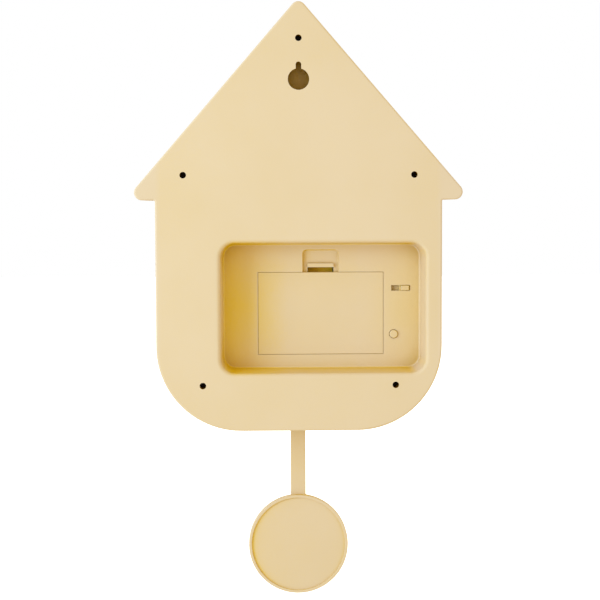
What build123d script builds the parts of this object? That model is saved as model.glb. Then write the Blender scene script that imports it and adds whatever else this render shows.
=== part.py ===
from build123d import *

import os
from math import cos, pi, radians, sin, tan

# A house-shaped wall cuckoo clock, piece by piece, in millimetres.
# The origin is the seat of the wall screw in the keyhole. Z points up and X points right when facing
# the dial. The wall is the plane Y = 0, and depths are counted from it towards the room, along -Y.

# Case outline
case_depth = 84.0
body_width = 191.8
body_drop = 244.75
body_corner_radius = 57.0
apex_rise = 44.4
eave_drop = 89.75
eave_overhang = 20.0
roof_radius = 5.2
eave_inner_radius = 1.0
case_wall = 2.5
front_edge_radius = 2.4
seam_bevel = 0.35

# Rear cover, its lip and its keyhole
cover_thickness = 3.0
cover_edge_radius = 1.4
lip_height = 3.0
lip_thickness = 1.6
lip_clearance = 0.3
keyhole_entry_diameter = 14.3
keyhole_slot_width = 3.75
keyhole_drop = 9.7
pocket_width = 19.0
pocket_rise = 8.5
pocket_depth = 9.0
pocket_wall = 1.6

# Case screws, in wells of the rear cover
top_screw_rise = 17.5
upper_screw_spacing = 231.6 / 1.5
upper_screw_drop = 73.1
lower_screw_spacing = 129.6
lower_screw_drop = 214.1
screw_well_diameter = 4.4
screw_well_depth = 13.0
screw_well_wall = 1.8
screw_well_floor = 2.0
screw_head_diameter = 4.0
screw_head_height = 1.6
screw_diameter = 2.2
screw_length = 12.0
screw_clearance = 0.1
boss_wall = 2.8
cross_slot_width = 0.7
cross_slot_depth = 0.8

# Control recess in the rear cover
recess_side_margin = 10.8
recess_drop = 162.2
recess_width = 138.0
recess_height = 88.0
recess_radius = 10.0
recess_draft = 4.0
recess_wall = 2.0
recess_floor = 2.0
recess_rim_radius = 2.8
recess_floor_radius = 1.2

# Batteries, their box and their contacts
cell_count = 3
cell_diameter = 26.2
cell_length = 50.0
cell_nub_diameter = 6.0
cell_nub_height = 1.5
cell_gap = 0.6
cell_top_clearance = 0.7
box_wall = 1.5
box_back_gap = 3.3
box_flange_margin = 2.2
positive_plate_thickness = 0.5
positive_plate_width = 11.0
leaf_height = 3.1
leaf_thickness = 0.5
leaf_width = 10.0
leaf_span = 14.0
leaf_clearance = 0.05

# Battery door, its tabs and its latch
door_offset = 0.75
door_drop = 167.15
door_lap = 2.25
door_gap = 0.25
door_proud = 0.25
door_edge_radius = 0.2
door_tuck = 0.9
tab_width = 7.0
tab_reach = 2.2
tab_thickness = 1.25
tab_clearance = 0.15
tab_seat = 1.9
latch_space = 3.3
latch_width = 17.2
latch_leg_thickness = 1.2
latch_lever_thickness = 1.4
latch_slot = 3.5
latch_depth = 9.4
latch_ledge_width = 17.8
latch_ledge_reach = 1.2
latch_ledge_thickness = 1.3
latch_ledge_sink = 0.6
latch_catch_width = 12.0
latch_catch_reach = 0.9
latch_catch_height = 1.4
latch_clearance = 0.3
notch_width = 25.0
notch_height = 15.75
notch_depth = 2.4
notch_draft = 20.0
notch_run_out = 1.0
notch_radius = 3.0
notch_floor = 1.5

# Slide switch, push button and circuit board
switch_offset = 54.05
switch_drop = 150.05
switch_slot_width = 12.9
switch_slot_height = 3.8
knob_width = 5.5
knob_end_gap = 0.7
knob_clearance = 0.3
knob_proud = 0.9
knob_foot_reach = 1.4
knob_foot_thickness = 1.0
switch_body_height = 7.0
switch_body_wall = 0.8
switch_relief = 1.0
button_offset = 49.2
button_drop = 181.65
button_diameter = 5.6
button_clearance = 0.3
button_proud = 1.3
button_travel = 1.0
button_flange = 0.9
button_flange_thickness = 1.0
tact_size = 6.2
tact_height = 3.6
board_offset = 55.2
board_width = 21.0
board_height = 66.0
board_drop = 165.7
board_thickness = 1.6
board_standoff = 8.0
board_screw_inset = 3.6
board_screw_length = 7.0
standoff_diameter = 6.4
chip_diameter = 9.0
chip_height = 2.0

# Speaker, facing down on the bottom wall
speaker_x = 23.0
speaker_depth_place = 21.0
speaker_diameter = 28.0
speaker_flange = 1.2
speaker_flange_width = 2.2
speaker_basket_height = 4.0
speaker_basket_wall = 0.8
speaker_magnet_diameter = 15.0
speaker_magnet_height = 3.0
speaker_cone_thickness = 0.5
speaker_rib_height = 1.5
speaker_rib_thickness = 1.4
grille_slot_width = 2.0
grille_slot_pitch = 4.0
grille_slot_count = 5

# Dial and hands
dial_drop = 160.0
dial_radius = 59.7
dial_clearance = 0.3
dial_thickness = 1.2
well_depth = 8.0
well_floor = 2.0
well_wall = 2.0
well_edge_radius = 1.6
hour_mark_radius = 50.0
marker_length = 8.0
marker_width = 2.4
quarter_marker_length = 11.0
quarter_marker_width = 3.6
marker_height = 0.8
hour_hand_length = 33.0
hour_hand_width = 6.0
minute_hand_length = 48.0
minute_hand_width = 4.6
hand_tail = 10.0
hand_taper = 0.5
hand_hub_margin = 2.2
hand_thickness = 0.9
hand_spacing = 1.8
hand_fit = 0.02
hour_hand_angle = 305.0
minute_hand_angle = 60.0
cap_diameter = 7.0
cap_height = 1.3

# Quartz movement and its motion work
movement_size = 56.0
movement_radius = 6.0
movement_depth = 15.0
movement_split = 8.0
movement_wall = 1.4
washer_thickness = 1.0
washer_diameter = 22.0
bushing_diameter = 8.0
bushing_bore = 5.4
bushing_flange_diameter = 12.0
bushing_flange_thickness = 1.4
bushing_clearance = 0.05
dial_hole_clearance = 0.3
nut_across_flats = 12.0
nut_height = 1.8
bushing_proud = 0.2
hour_tube_diameter = 5.1
minute_arbor_diameter = 3.1
arbor_clearance = 0.1
arbor_socket_depth = 2.4
arbor_socket_wall = 1.5
motion_post_diameter = 1.5
wheel_thickness = 1.5
wheel_spacing = 0.6
cannon_teeth = 12
motion_wheel_teeth = 36
motion_module = 0.5
motion_pinion_teeth = 10
hour_wheel_teeth = 40
stepper_coil_diameter = 8.0
stepper_coil_length = 20.0
stepper_flange_thickness = 1.0
stepper_x = -12.0
stepper_drop = 16.0

# Cuckoo door opening and its two leaves
opening_width = 34.6
opening_sill_drop = 68.0
opening_side_height = 20.7
opening_edge_radius = 0.8
leaf_gap = 0.3
door_leaf_thickness = 2.0
leaf_panel_margin = 3.2
leaf_panel_sink = 0.4
hinge_pin_diameter = 1.2
hinge_pin_clearance = 0.1
hinge_pin_bury = 3.0

# Cuckoo slide, rack drive and motor
sled_front_inset = 34.0
sled_width = 20.0
sled_thickness = 2.7
sled_end_gap = 1.0
rack_overrun = 8.0
sled_top_drop = 71.0
sled_clearance = 0.3
rail_wall = 2.0
rail_lip = 1.8
rail_lip_thickness = 1.7
rail_base = 2.0
rail_start_depth = 9.0
rail_slot_clearance = 0.7
post_diameter = 6.0
post_inset = 2.0
rack_width = 5.0
rack_module = 0.8
rack_back = 1.0
pinion_teeth = 12
pinion_inset = 4.0
drive_wheel_teeth = 36
drive_module = 0.6
motor_pinion_teeth = 10
drive_shaft_diameter = 3.0
drive_wheel_width = 2.5
drive_wheel_x = 13.6
ear_thickness = 2.0
ear_x = 7.0
ear_margin = 2.4
shaft_clearance = 0.1
gear_side_gap = 0.5
motor_length = 25.0
motor_width = 20.0
motor_height = 15.0
motor_shaft_diameter = 2.0
motor_gap = 1.2
cradle_wall = 2.0
cradle_width = 14.0
cradle_clearance = 0.2
frame_flange_width = 58.0
frame_flange_height = 16.0
frame_flange_thickness = 2.0
frame_flange_gap = 5.5
frame_screw_spacing = 46.0
frame_screw_length = 7.0

# The bird
bird_drop = 55.0
bird_body_length = 26.0
bird_body_radius = 9.0
bird_body_lead = 6.0
bird_end_radius = 5.4
bird_end_round = 4.4
bird_foot_cut = 1.0
head_radius = 6.2
head_rise = 8.5
head_lead = 9.0
beak_length = 5.5
beak_radius = 2.2
beak_tip_radius = 0.5
tail_length = 9.0
tail_width = 10.0
tail_thickness = 2.0
tail_tilt = 20.0
wing_length = 15.0
wing_height = 8.0
wing_thickness = 1.2
wing_tilt = 12.0

# Pendulum and its drive
pivot_drop = 217.0
pivot_depth = 44.0
pendulum_swing = 10.0
pivot_pin_diameter = 1.6
pivot_clearance = 0.06
sleeve_diameter = 5.0
sleeve_length = 6.0
sleeve_end_gap = 0.3
clip_diameter = 4.0
clip_thickness = 0.6
hanger_width = 8.0
hanger_thickness = 2.0
hanger_length = 22.0
peg_diameter = 3.0
peg_drop = 17.0
peg_clearance = 0.1
peg_head_diameter = 4.6
peg_head_thickness = 1.0
rod_width = 10.5
rod_thickness = 2.4
rod_edge_radius = 0.6
rod_head = 4.0
bob_drop = 330.4
bob_diameter = 69.4
bob_thickness = 6.0
bob_rim_width = 2.1
bob_rim_height = 1.2
bob_front_radius = 1.8
bob_back_radius = 0.5
rod_sink = 1.5
magnet_diameter = 8.0
magnet_thickness = 3.0
magnet_drop = 12.0
magnet_gap = 1.5
coil_diameter = 14.0
coil_length = 8.2
coil_flange_thickness = 1.0
coil_inset = 0.8
mount_width = 44.0
mount_height = 29.0
mount_thickness = 2.0
mount_rise = 6.0
mount_boss_diameter = 6.0
mount_boss_length = 3.0
mount_screw_spacing = 32.0
mount_screw_drop = 14.0
mount_screw_length = 7.0
slot_clearance = 3.0
slot_radius = 2.0

# Places worked out from the sizes above
front_depth = case_depth
facade_back = case_depth - case_wall
eave_span = body_width + 2 * eave_overhang
bottom_inside = -body_drop + case_wall
boss_diameter = screw_diameter + 2 * (screw_clearance + boss_wall)
screw_places = [
    (0, top_screw_rise),
    (-upper_screw_spacing / 2, -upper_screw_drop),
    (upper_screw_spacing / 2, -upper_screw_drop),
    (-lower_screw_spacing / 2, -lower_screw_drop),
    (lower_screw_spacing / 2, -lower_screw_drop),
]
boss_start = screw_well_depth + screw_well_floor

well_front = front_depth - well_depth
well_back = well_front - well_floor
movement_front = well_back - washer_thickness
movement_back = movement_front - movement_depth
bay_back = movement_back - box_back_gap - box_wall
cell_depth = bay_back - cell_gap / 2 - cell_diameter / 2
floor_back = cell_depth - cell_diameter / 2 - cell_top_clearance
recess_depth = floor_back - recess_floor
recess_x = recess_side_margin + recess_width / 2 - body_width / 2
door_x = recess_x + door_offset
switch_x = recess_x - switch_offset
button_x = recess_x - button_offset
board_x = recess_x - board_offset

cell_pitch = cell_diameter + cell_gap
bay_width = cell_count * cell_pitch + cell_gap
bay_height = cell_length + positive_plate_thickness + leaf_height
door_width = bay_width + 2 * door_lap
door_height = bay_height + latch_space - door_tuck
door_top = -door_drop + door_height / 2
door_bottom = -door_drop - door_height / 2
bay_top = door_top - latch_space
bay_bottom = bay_top - bay_height
bay_middle = (bay_top + bay_bottom) / 2
cell_places = [door_x + (i - (cell_count - 1) / 2) * cell_pitch for i in range(cell_count)]
tab_places = [door_x - cell_pitch / 2, door_x + cell_pitch / 2]

latch_opening = latch_slot + latch_lever_thickness + latch_clearance
lever_bottom = door_top + latch_slot
lever_top = lever_bottom + latch_lever_thickness
latch_bottom = floor_back + latch_depth
flange_width = door_width + 2 * (door_gap + box_flange_margin)
flange_top = door_top + door_gap + box_flange_margin
flange_bottom = bay_bottom - box_wall - box_flange_margin / 2

pocket_middle = (pocket_rise - pocket_width / 2 - keyhole_drop) / 2
pocket_centres = pocket_rise - pocket_width / 2 + keyhole_drop

board_depth = floor_back + board_standoff
knob_foot_front = floor_back - switch_relief + knob_clearance
knob_foot_back = knob_foot_front + knob_clearance + knob_foot_thickness
button_stem = (
    board_depth - tact_height - button_travel - button_clearance
    - floor_back - button_clearance - button_flange_thickness
)
board_screw_places = [
    (board_x, -board_drop + side * (board_height / 2 - board_screw_inset)) for side in (-1, 1)
]
knob_travel = switch_slot_width - knob_width - 2 * knob_end_gap
switch_body_width = knob_width + 2 * knob_foot_reach + knob_travel + 2 * knob_clearance
knob_rest_x = switch_x - switch_slot_width / 2 + knob_end_gap + knob_width / 2

cone_radius = speaker_diameter / 2 - speaker_flange_width - speaker_basket_wall
speaker_seat = bottom_inside + speaker_rib_height
cone_top = speaker_seat + speaker_flange + speaker_basket_height - speaker_basket_wall

well_radius = dial_radius + dial_clearance
dial_front = well_front + dial_thickness
nut_front = dial_front + nut_height
bushing_front = nut_front + bushing_proud
movement_joint = movement_back + movement_split
movement_inside = movement_size - 2 * movement_wall
hour_hand_depth = bushing_front + wheel_spacing
minute_hand_depth = hour_hand_depth + hand_spacing
bushing_back = movement_front - movement_wall - bushing_flange_thickness
hour_wheel_depth = bushing_back - wheel_spacing / 3 - wheel_thickness
motion_wheel_depth = hour_wheel_depth - wheel_spacing - wheel_thickness
motion_centres = motion_module * (cannon_teeth + motion_wheel_teeth) / 2
hour_module = 2 * motion_centres / (motion_pinion_teeth + hour_wheel_teeth)
motion_axis = -dial_drop + motion_centres

motion_post_top = hour_wheel_depth + wheel_thickness + wheel_spacing / 3
stepper_depth = movement_back + movement_wall + stepper_coil_diameter / 2

opening_radius = opening_width / 2
arch_height = -opening_sill_drop + opening_side_height
hinge_x = opening_radius - leaf_gap - door_leaf_thickness / 2
hinge_depth = front_depth - door_leaf_thickness / 2
arch_radius = hinge_x - 0.9 * door_leaf_thickness + leaf_gap
door_arch_top = arch_height + arch_radius

leaf_bottom = -opening_sill_drop + leaf_gap
leaf_shoulder = arch_height - leaf_gap
panel_bottom = leaf_bottom + leaf_panel_margin
panel_radius = arch_radius - leaf_gap - leaf_panel_margin
panel_inside = leaf_gap / 2 + leaf_panel_margin
hinge_pin_length = opening_side_height + 2 * hinge_pin_bury - 2 * hinge_pin_clearance

sled_back_depth = rail_start_depth + rail_wall + sled_end_gap
sled_front_depth = front_depth - sled_front_inset
sled_length = sled_front_depth - sled_back_depth
bird_travel = sled_length - rack_overrun
post_depth = sled_front_depth - post_inset
pinion_depth = sled_front_depth - pinion_inset
sled_bottom = -sled_top_drop - sled_thickness
rack_root = sled_bottom - rack_back
rack_pitch_line = rack_root - 1.25 * rack_module
pinion_radius = rack_module * pinion_teeth / 2
pinion_axis = rack_pitch_line - pinion_radius
drive_centres = drive_module * (drive_wheel_teeth + motor_pinion_teeth) / 2
motor_axis = pinion_axis - drive_centres
rack_pitch = pi * rack_module
rack_slot_bottom = rack_pitch_line - rack_module - rail_slot_clearance
cradle_bottom = motor_axis - motor_height / 2 - cradle_clearance - cradle_wall
motor_x = drive_wheel_x - gear_side_gap / 2 - motor_gap - motor_length / 2
rail_gap = sled_width + 2 * sled_clearance
rail_half = rail_gap / 2 + rail_wall
ear_width = drive_shaft_diameter + 2 * (shaft_clearance + ear_margin)
rail_top = -sled_top_drop + sled_clearance + rail_lip_thickness
rail_floor = sled_bottom - sled_clearance
rail_under = rail_floor - rail_base
frame_front = facade_back - frame_flange_gap
frame_screw_height = rail_under - frame_flange_height / 2
frame_screw_places = [(side * frame_screw_spacing / 2, frame_screw_height) for side in (-1, 1)]
bird_foot = -bird_drop - bird_body_radius + bird_foot_cut
bird_depth = post_depth + bird_body_lead

hanger_front = pivot_depth + rod_thickness / 2 + hanger_thickness + peg_clearance
magnet_front = hanger_front + magnet_thickness
coil_back = magnet_front + magnet_gap
mount_back = coil_back + coil_length
mount_front = mount_back + mount_thickness
pin_back = pivot_depth - sleeve_length / 2 - sleeve_end_gap - 2 * clip_thickness
bob_back = pivot_depth - bob_thickness / 2 - bob_rim_height
rod_bottom = -bob_drop + bob_diameter / 2 - rod_sink
rod_top = -pivot_drop - peg_drop + rod_head
swing_reach = (body_drop - pivot_drop) * tan(radians(pendulum_swing))
pendulum_slot_width = rod_width + 2 * swing_reach + 2 * slot_clearance
pendulum_slot_depth = rod_thickness + 2 * slot_clearance
mount_screw_places = [(side * mount_screw_spacing / 2, -pivot_drop - mount_screw_drop) for side in (-1, 1)]

# The rack's outline in Y and Z: straight-flanked teeth below a bar, with a gap over the pinion at rest
rack_front = -sled_back_depth - sled_length
rack_rear = -sled_back_depth
tooth_half = rack_pitch / 4 * 0.78
tip_half = tooth_half - rack_module * tan(radians(20))
rack_tip = rack_pitch_line - 0.9 * rack_module
rack_corners = [(rack_front, sled_bottom), (rack_front, rack_root)]
first_tooth = int((rack_front + pinion_depth) / rack_pitch - 0.5) + 1
last_tooth = int((rack_rear + pinion_depth) / rack_pitch - 0.5) - 1
for tooth in range(first_tooth, last_tooth + 1):
    middle = -pinion_depth + (tooth + 0.5) * rack_pitch
    rack_corners.append((middle - tooth_half - rack_module * tan(radians(20)), rack_root))
    rack_corners.append((middle - tip_half, rack_tip))
    rack_corners.append((middle + tip_half, rack_tip))
    rack_corners.append((middle + tooth_half + rack_module * tan(radians(20)), rack_root))
rack_corners.append((rack_rear, rack_root))
rack_corners.append((rack_rear, sled_bottom))


def at_depth(depth):
    """Sketch plane parallel to the wall, seen from the front, this far in front of the wall."""
    return Plane.XZ.offset(depth)


def along_x(x):
    """Sketch plane square to X: its first axis is Y and its second is Z."""
    return Plane.YZ.offset(x)


def at_height(z):
    """Sketch plane square to Z: its first axis is X and its second is Y."""
    return Plane.XY.offset(z)


def gear_corners(teeth, module, first_tooth, thin=0.22):
    """Corners of a spur gear about the origin, with a tooth at the angle first_tooth in degrees."""
    pitch_radius = module * teeth / 2
    tip_radius = pitch_radius + 0.9 * module
    root_radius = pitch_radius - 1.2 * module
    half_pitch = pi / (2 * teeth) * (1 - thin)
    half_tip = (half_pitch * pitch_radius - 0.9 * module * tan(radians(20))) / tip_radius
    corners = []
    for tooth in range(teeth):
        middle = radians(first_tooth) + 2 * pi * tooth / teeth
        for radius, angle in (
            (root_radius, -half_pitch),
            (pitch_radius, -half_pitch),
            (tip_radius, -half_tip),
            (tip_radius, half_tip),
            (pitch_radius, half_pitch),
            (root_radius, half_pitch),
        ):
            corners.append((radius * cos(middle + angle), radius * sin(middle + angle)))
    return corners


parts = {}


def finish(name, builder):
    """Labels a finished piece and keeps it for export."""
    builder.part.label = name
    parts[name] = builder.part


# House outline, shared by the case and the cover
with BuildSketch() as outline:
    with BuildLine():
        Polyline(
            (0, apex_rise),
            (eave_span / 2, -eave_drop),
            (body_width / 2, -eave_drop),
            (body_width / 2, -body_drop),
            (-body_width / 2, -body_drop),
            (-body_width / 2, -eave_drop),
            (-eave_span / 2, -eave_drop),
            close=True,
        )
    make_face()
    fillet(outline.vertices().group_by(Axis.Y)[0], body_corner_radius)
    fillet(outline.vertices().group_by(Axis.Y)[-1], roof_radius)
    fillet(outline.vertices().group_by(Axis.X)[0], roof_radius)
    fillet(outline.vertices().group_by(Axis.X)[-1], roof_radius)
    fillet(
        outline.vertices().filter_by(
            lambda corner: abs(abs(corner.X) - body_width / 2) < 0.01 and abs(corner.Y + eave_drop) < 0.01
        ),
        eave_inner_radius,
    )

with BuildSketch() as inside_outline:
    add(outline.sketch)
    offset(amount=-case_wall)

with BuildSketch() as lip_outline:
    add(outline.sketch)
    offset(amount=-case_wall - lip_clearance)

with BuildSketch() as lip_inside:
    add(outline.sketch)
    offset(amount=-case_wall - lip_clearance - lip_thickness)

# Front housing: the house shell with its dial well, door opening, bosses and pendulum slot
with BuildPart() as front_housing:
    with BuildSketch(at_depth(cover_thickness)):
        add(outline.sketch)
    extrude(amount=case_depth - cover_thickness)
    fillet(front_housing.faces().sort_by(Axis.Y)[0].edges(), front_edge_radius)
    chamfer(front_housing.faces().sort_by(Axis.Y)[-1].edges(), seam_bevel)
    with BuildSketch(at_depth(cover_thickness)):
        add(inside_outline.sketch)
    extrude(amount=facade_back - cover_thickness, mode=Mode.SUBTRACT)
    # Cup of the dial well
    with BuildSketch(at_depth(well_back)):
        with Locations((0, -dial_drop)):
            Circle(well_radius + well_wall)
    extrude(amount=facade_back - well_back)
    # Bosses for the case screws
    with BuildSketch(at_depth(boss_start)):
        with Locations(*screw_places):
            Circle(boss_diameter / 2)
    extrude(amount=facade_back - boss_start)
    with BuildSketch(at_depth(boss_start)):
        with Locations(*screw_places):
            Circle(screw_diameter / 2 + screw_clearance)
    extrude(amount=screw_length + screw_clearance, mode=Mode.SUBTRACT)
    # Bosses for the cuckoo frame and the pendulum mount
    with BuildSketch(at_depth(frame_front)):
        with Locations(*frame_screw_places):
            Circle(boss_diameter / 2)
    extrude(amount=facade_back - frame_front)
    with BuildSketch(at_depth(mount_front)):
        with Locations(*mount_screw_places):
            Circle(boss_diameter / 2)
    extrude(amount=facade_back - mount_front)
    with BuildSketch(at_depth(frame_front)):
        with Locations(*frame_screw_places):
            Circle(screw_diameter / 2 + screw_clearance)
    extrude(amount=frame_screw_length - frame_flange_thickness + screw_clearance, mode=Mode.SUBTRACT)
    with BuildSketch(at_depth(mount_front)):
        with Locations(*mount_screw_places):
            Circle(screw_diameter / 2 + screw_clearance)
    extrude(amount=mount_screw_length - mount_thickness + screw_clearance, mode=Mode.SUBTRACT)
    # The well itself and the hole for the movement's bushing
    with BuildSketch(at_depth(well_front)):
        with Locations((0, -dial_drop)):
            Circle(well_radius)
    extrude(amount=well_depth, mode=Mode.SUBTRACT)
    well_edge = front_housing.edges().filter_by(GeomType.CIRCLE).filter_by(
        lambda edge: abs(edge.radius - well_radius) < 0.01 and abs(edge.center().Y + front_depth) < 0.01
    )
    fillet(well_edge, well_edge_radius)
    with BuildSketch(at_depth(well_back)):
        with Locations((0, -dial_drop)):
            Circle(bushing_diameter / 2 + dial_hole_clearance)
    extrude(amount=well_floor, mode=Mode.SUBTRACT)
    # Opening for the bird, with an arch set in on shoulders
    with BuildSketch(at_depth(facade_back)):
        with Locations((0, -opening_sill_drop + opening_side_height / 2)):
            Rectangle(opening_width, opening_side_height)
        with Locations((0, arch_height)):
            Circle(arch_radius)
    extrude(amount=case_wall, mode=Mode.SUBTRACT)
    opening_edges = front_housing.faces().sort_by(Axis.Y)[0].edges().filter_by(
        lambda edge: abs(edge.center().X) <= opening_radius + 0.01
        and -opening_sill_drop - 0.01 <= edge.center().Z <= door_arch_top + 0.01
    )
    fillet(opening_edges, opening_edge_radius)
    # Blind holes for the door pins, below the sill and above the arch's shoulders
    with BuildSketch(at_height(-opening_sill_drop - hinge_pin_bury)):
        with Locations((-hinge_x, -hinge_depth), (hinge_x, -hinge_depth)):
            Circle(hinge_pin_diameter / 2 + hinge_pin_clearance)
    extrude(amount=opening_side_height + 2 * hinge_pin_bury, mode=Mode.SUBTRACT)
    # Pendulum slot and speaker grille in the bottom wall
    with BuildSketch(at_height(-body_drop)):
        with Locations((0, -pivot_depth)):
            RectangleRounded(pendulum_slot_width, pendulum_slot_depth, slot_radius)
        with Locations((speaker_x, -speaker_depth_place)):
            with GridLocations(grille_slot_pitch, 0, grille_slot_count, 1):
                SlotOverall(speaker_diameter / 2, grille_slot_width, rotation=90)
    extrude(amount=case_wall, mode=Mode.SUBTRACT)
    # Ring that the speaker sits on
    with BuildSketch(at_height(bottom_inside)):
        with Locations((speaker_x, -speaker_depth_place)):
            Circle(speaker_diameter / 2)
            Circle(speaker_diameter / 2 - speaker_rib_thickness, mode=Mode.SUBTRACT)
    extrude(amount=speaker_rib_height)
finish("front_housing", front_housing)

# Rear cover: the back plate with keyhole, screw wells and the control recess
with BuildPart() as rear_cover:
    with BuildSketch(at_depth(0)):
        add(outline.sketch)
    extrude(amount=cover_thickness)
    fillet(rear_cover.faces().sort_by(Axis.Y)[-1].edges(), cover_edge_radius)
    with BuildSketch(at_depth(cover_thickness)):
        add(lip_outline.sketch)
        add(lip_inside.sketch, mode=Mode.SUBTRACT)
    extrude(amount=lip_height)
    # Outside of the recess tub, the keyhole pocket and the screw wells
    with BuildSketch(at_depth(0)):
        with Locations((recess_x, -recess_drop)):
            RectangleRounded(
                recess_width + 2 * recess_wall, recess_height + 2 * recess_wall, recess_radius + recess_wall
            )
    extrude(amount=floor_back, taper=recess_draft)
    # Pocket behind the finger notch
    with BuildSketch(at_depth(floor_back)):
        with Locations((door_x, door_top + notch_height / 2 + notch_floor / 2)):
            Rectangle(notch_width + 2 * notch_floor, notch_height + notch_floor)
    extrude(amount=notch_depth + notch_floor - recess_floor)
    with BuildSketch(at_depth(cover_thickness)):
        with Locations((0, pocket_middle)):
            SlotCenterToCenter(pocket_centres, pocket_width + 2 * pocket_wall, rotation=90)
    extrude(amount=pocket_depth + pocket_wall)
    with BuildSketch(at_depth(cover_thickness)):
        with Locations(*screw_places):
            Circle(screw_well_diameter / 2 + screw_well_wall)
    extrude(amount=boss_start - cover_thickness)
    # Standoffs for the circuit board
    with BuildSketch(at_depth(floor_back)):
        with Locations(*board_screw_places):
            Circle(standoff_diameter / 2)
    extrude(amount=board_standoff)
    # The recess, the keyhole pocket and the screw wells are hollowed out
    with BuildSketch(at_depth(0)):
        with Locations((recess_x, -recess_drop)):
            RectangleRounded(recess_width, recess_height, recess_radius)
    extrude(amount=recess_depth, taper=recess_draft, mode=Mode.SUBTRACT)
    fillet(
        rear_cover.faces().filter_by(Plane.XZ).filter_by(
            lambda face: abs(face.center().Y + recess_depth) < 0.01
        ).edges(),
        recess_floor_radius,
    )
    rim_edges = rear_cover.faces().sort_by(Axis.Y)[-1].inner_wires()[0].edges()
    fillet(rim_edges, recess_rim_radius)
    with BuildSketch(at_depth(cover_thickness)):
        with Locations((0, pocket_middle)):
            SlotCenterToCenter(pocket_centres, pocket_width, rotation=90)
    extrude(amount=pocket_depth, mode=Mode.SUBTRACT)
    with BuildSketch(at_depth(0)):
        with Locations((0, -keyhole_drop)):
            Circle(keyhole_entry_diameter / 2)
        with Locations((0, -keyhole_drop / 2)):
            SlotCenterToCenter(keyhole_drop, keyhole_slot_width, rotation=90)
    extrude(amount=cover_thickness, mode=Mode.SUBTRACT)
    with BuildSketch(at_depth(0)):
        with Locations(*screw_places):
            Circle(screw_well_diameter / 2)
    extrude(amount=screw_well_depth, mode=Mode.SUBTRACT)
    with BuildSketch(at_depth(screw_well_depth)):
        with Locations(*screw_places):
            Circle(screw_diameter / 2 + screw_clearance)
    extrude(amount=screw_well_floor, mode=Mode.SUBTRACT)
    # Openings in the recess floor: battery door, finger notch, latch, switch and button
    with BuildSketch(at_depth(recess_depth)):
        with Locations((door_x, -door_drop)):
            Rectangle(door_width + 2 * door_gap, door_height + 2 * door_gap)
        with Locations((switch_x, -switch_drop)):
            Rectangle(switch_slot_width, switch_slot_height)
        with Locations((button_x, -button_drop)):
            Circle(button_diameter / 2 + button_clearance)
    extrude(amount=recess_floor, mode=Mode.SUBTRACT)
    # The floor is thinner where the slide switch stands behind it
    with BuildSketch(at_depth(floor_back - switch_relief)):
        with Locations((switch_x, -switch_drop)):
            Rectangle(
                switch_body_width + 2 * switch_body_wall + 2 * knob_clearance,
                switch_body_height + 2 * switch_body_wall + 2 * knob_clearance,
            )
    extrude(amount=switch_relief, mode=Mode.SUBTRACT)
    with BuildSketch(at_depth(recess_depth)) as notch_sketch:
        with Locations((door_x, door_top + notch_height / 2 - notch_run_out / 2)):
            Rectangle(notch_width, notch_height + notch_run_out)
        fillet(notch_sketch.vertices().group_by(Axis.Y)[-1], notch_radius)
    extrude(amount=notch_depth, taper=notch_draft, mode=Mode.SUBTRACT)
    with BuildSketch(at_depth(recess_depth + notch_depth)):
        with Locations((door_x, door_top + latch_opening / 2)):
            Rectangle(latch_width + 2 * latch_clearance, latch_opening)
    extrude(amount=notch_floor, mode=Mode.SUBTRACT)
    with BuildSketch(at_depth(board_depth)):
        with Locations(*board_screw_places):
            Circle(screw_diameter / 2 + screw_clearance)
    extrude(amount=-board_screw_length + board_thickness - screw_clearance, mode=Mode.SUBTRACT)
finish("rear_cover", rear_cover)

# Pan-head screws for the cover, the circuit board, the cuckoo frame and the pendulum mount.
# Each group has its places, the depth that its heads seat at, its length and the way its shanks point.
for name, places, seat, length, way in (
    ("case_screws", screw_places, screw_well_depth, screw_length, 1),
    ("board_screws", board_screw_places, board_depth + board_thickness, board_screw_length, -1),
    ("frame_screws", frame_screw_places, frame_front - frame_flange_thickness, frame_screw_length, 1),
    ("mount_screws", mount_screw_places, mount_back, mount_screw_length, 1),
):
    with BuildPart() as screws:
        with BuildSketch(at_depth(seat)):
            with Locations(*places):
                Circle(screw_head_diameter / 2)
        extrude(amount=-way * screw_head_height)
        with BuildSketch(at_depth(seat)):
            with Locations(*places):
                Circle(screw_diameter / 2)
        extrude(amount=way * length)
        with BuildSketch(at_depth(seat - way * screw_head_height)):
            with Locations(*places):
                Rectangle(screw_head_diameter * 0.7, cross_slot_width)
                Rectangle(cross_slot_width, screw_head_diameter * 0.7)
        extrude(amount=way * cross_slot_depth, mode=Mode.SUBTRACT)
    finish(name, screws)

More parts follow.
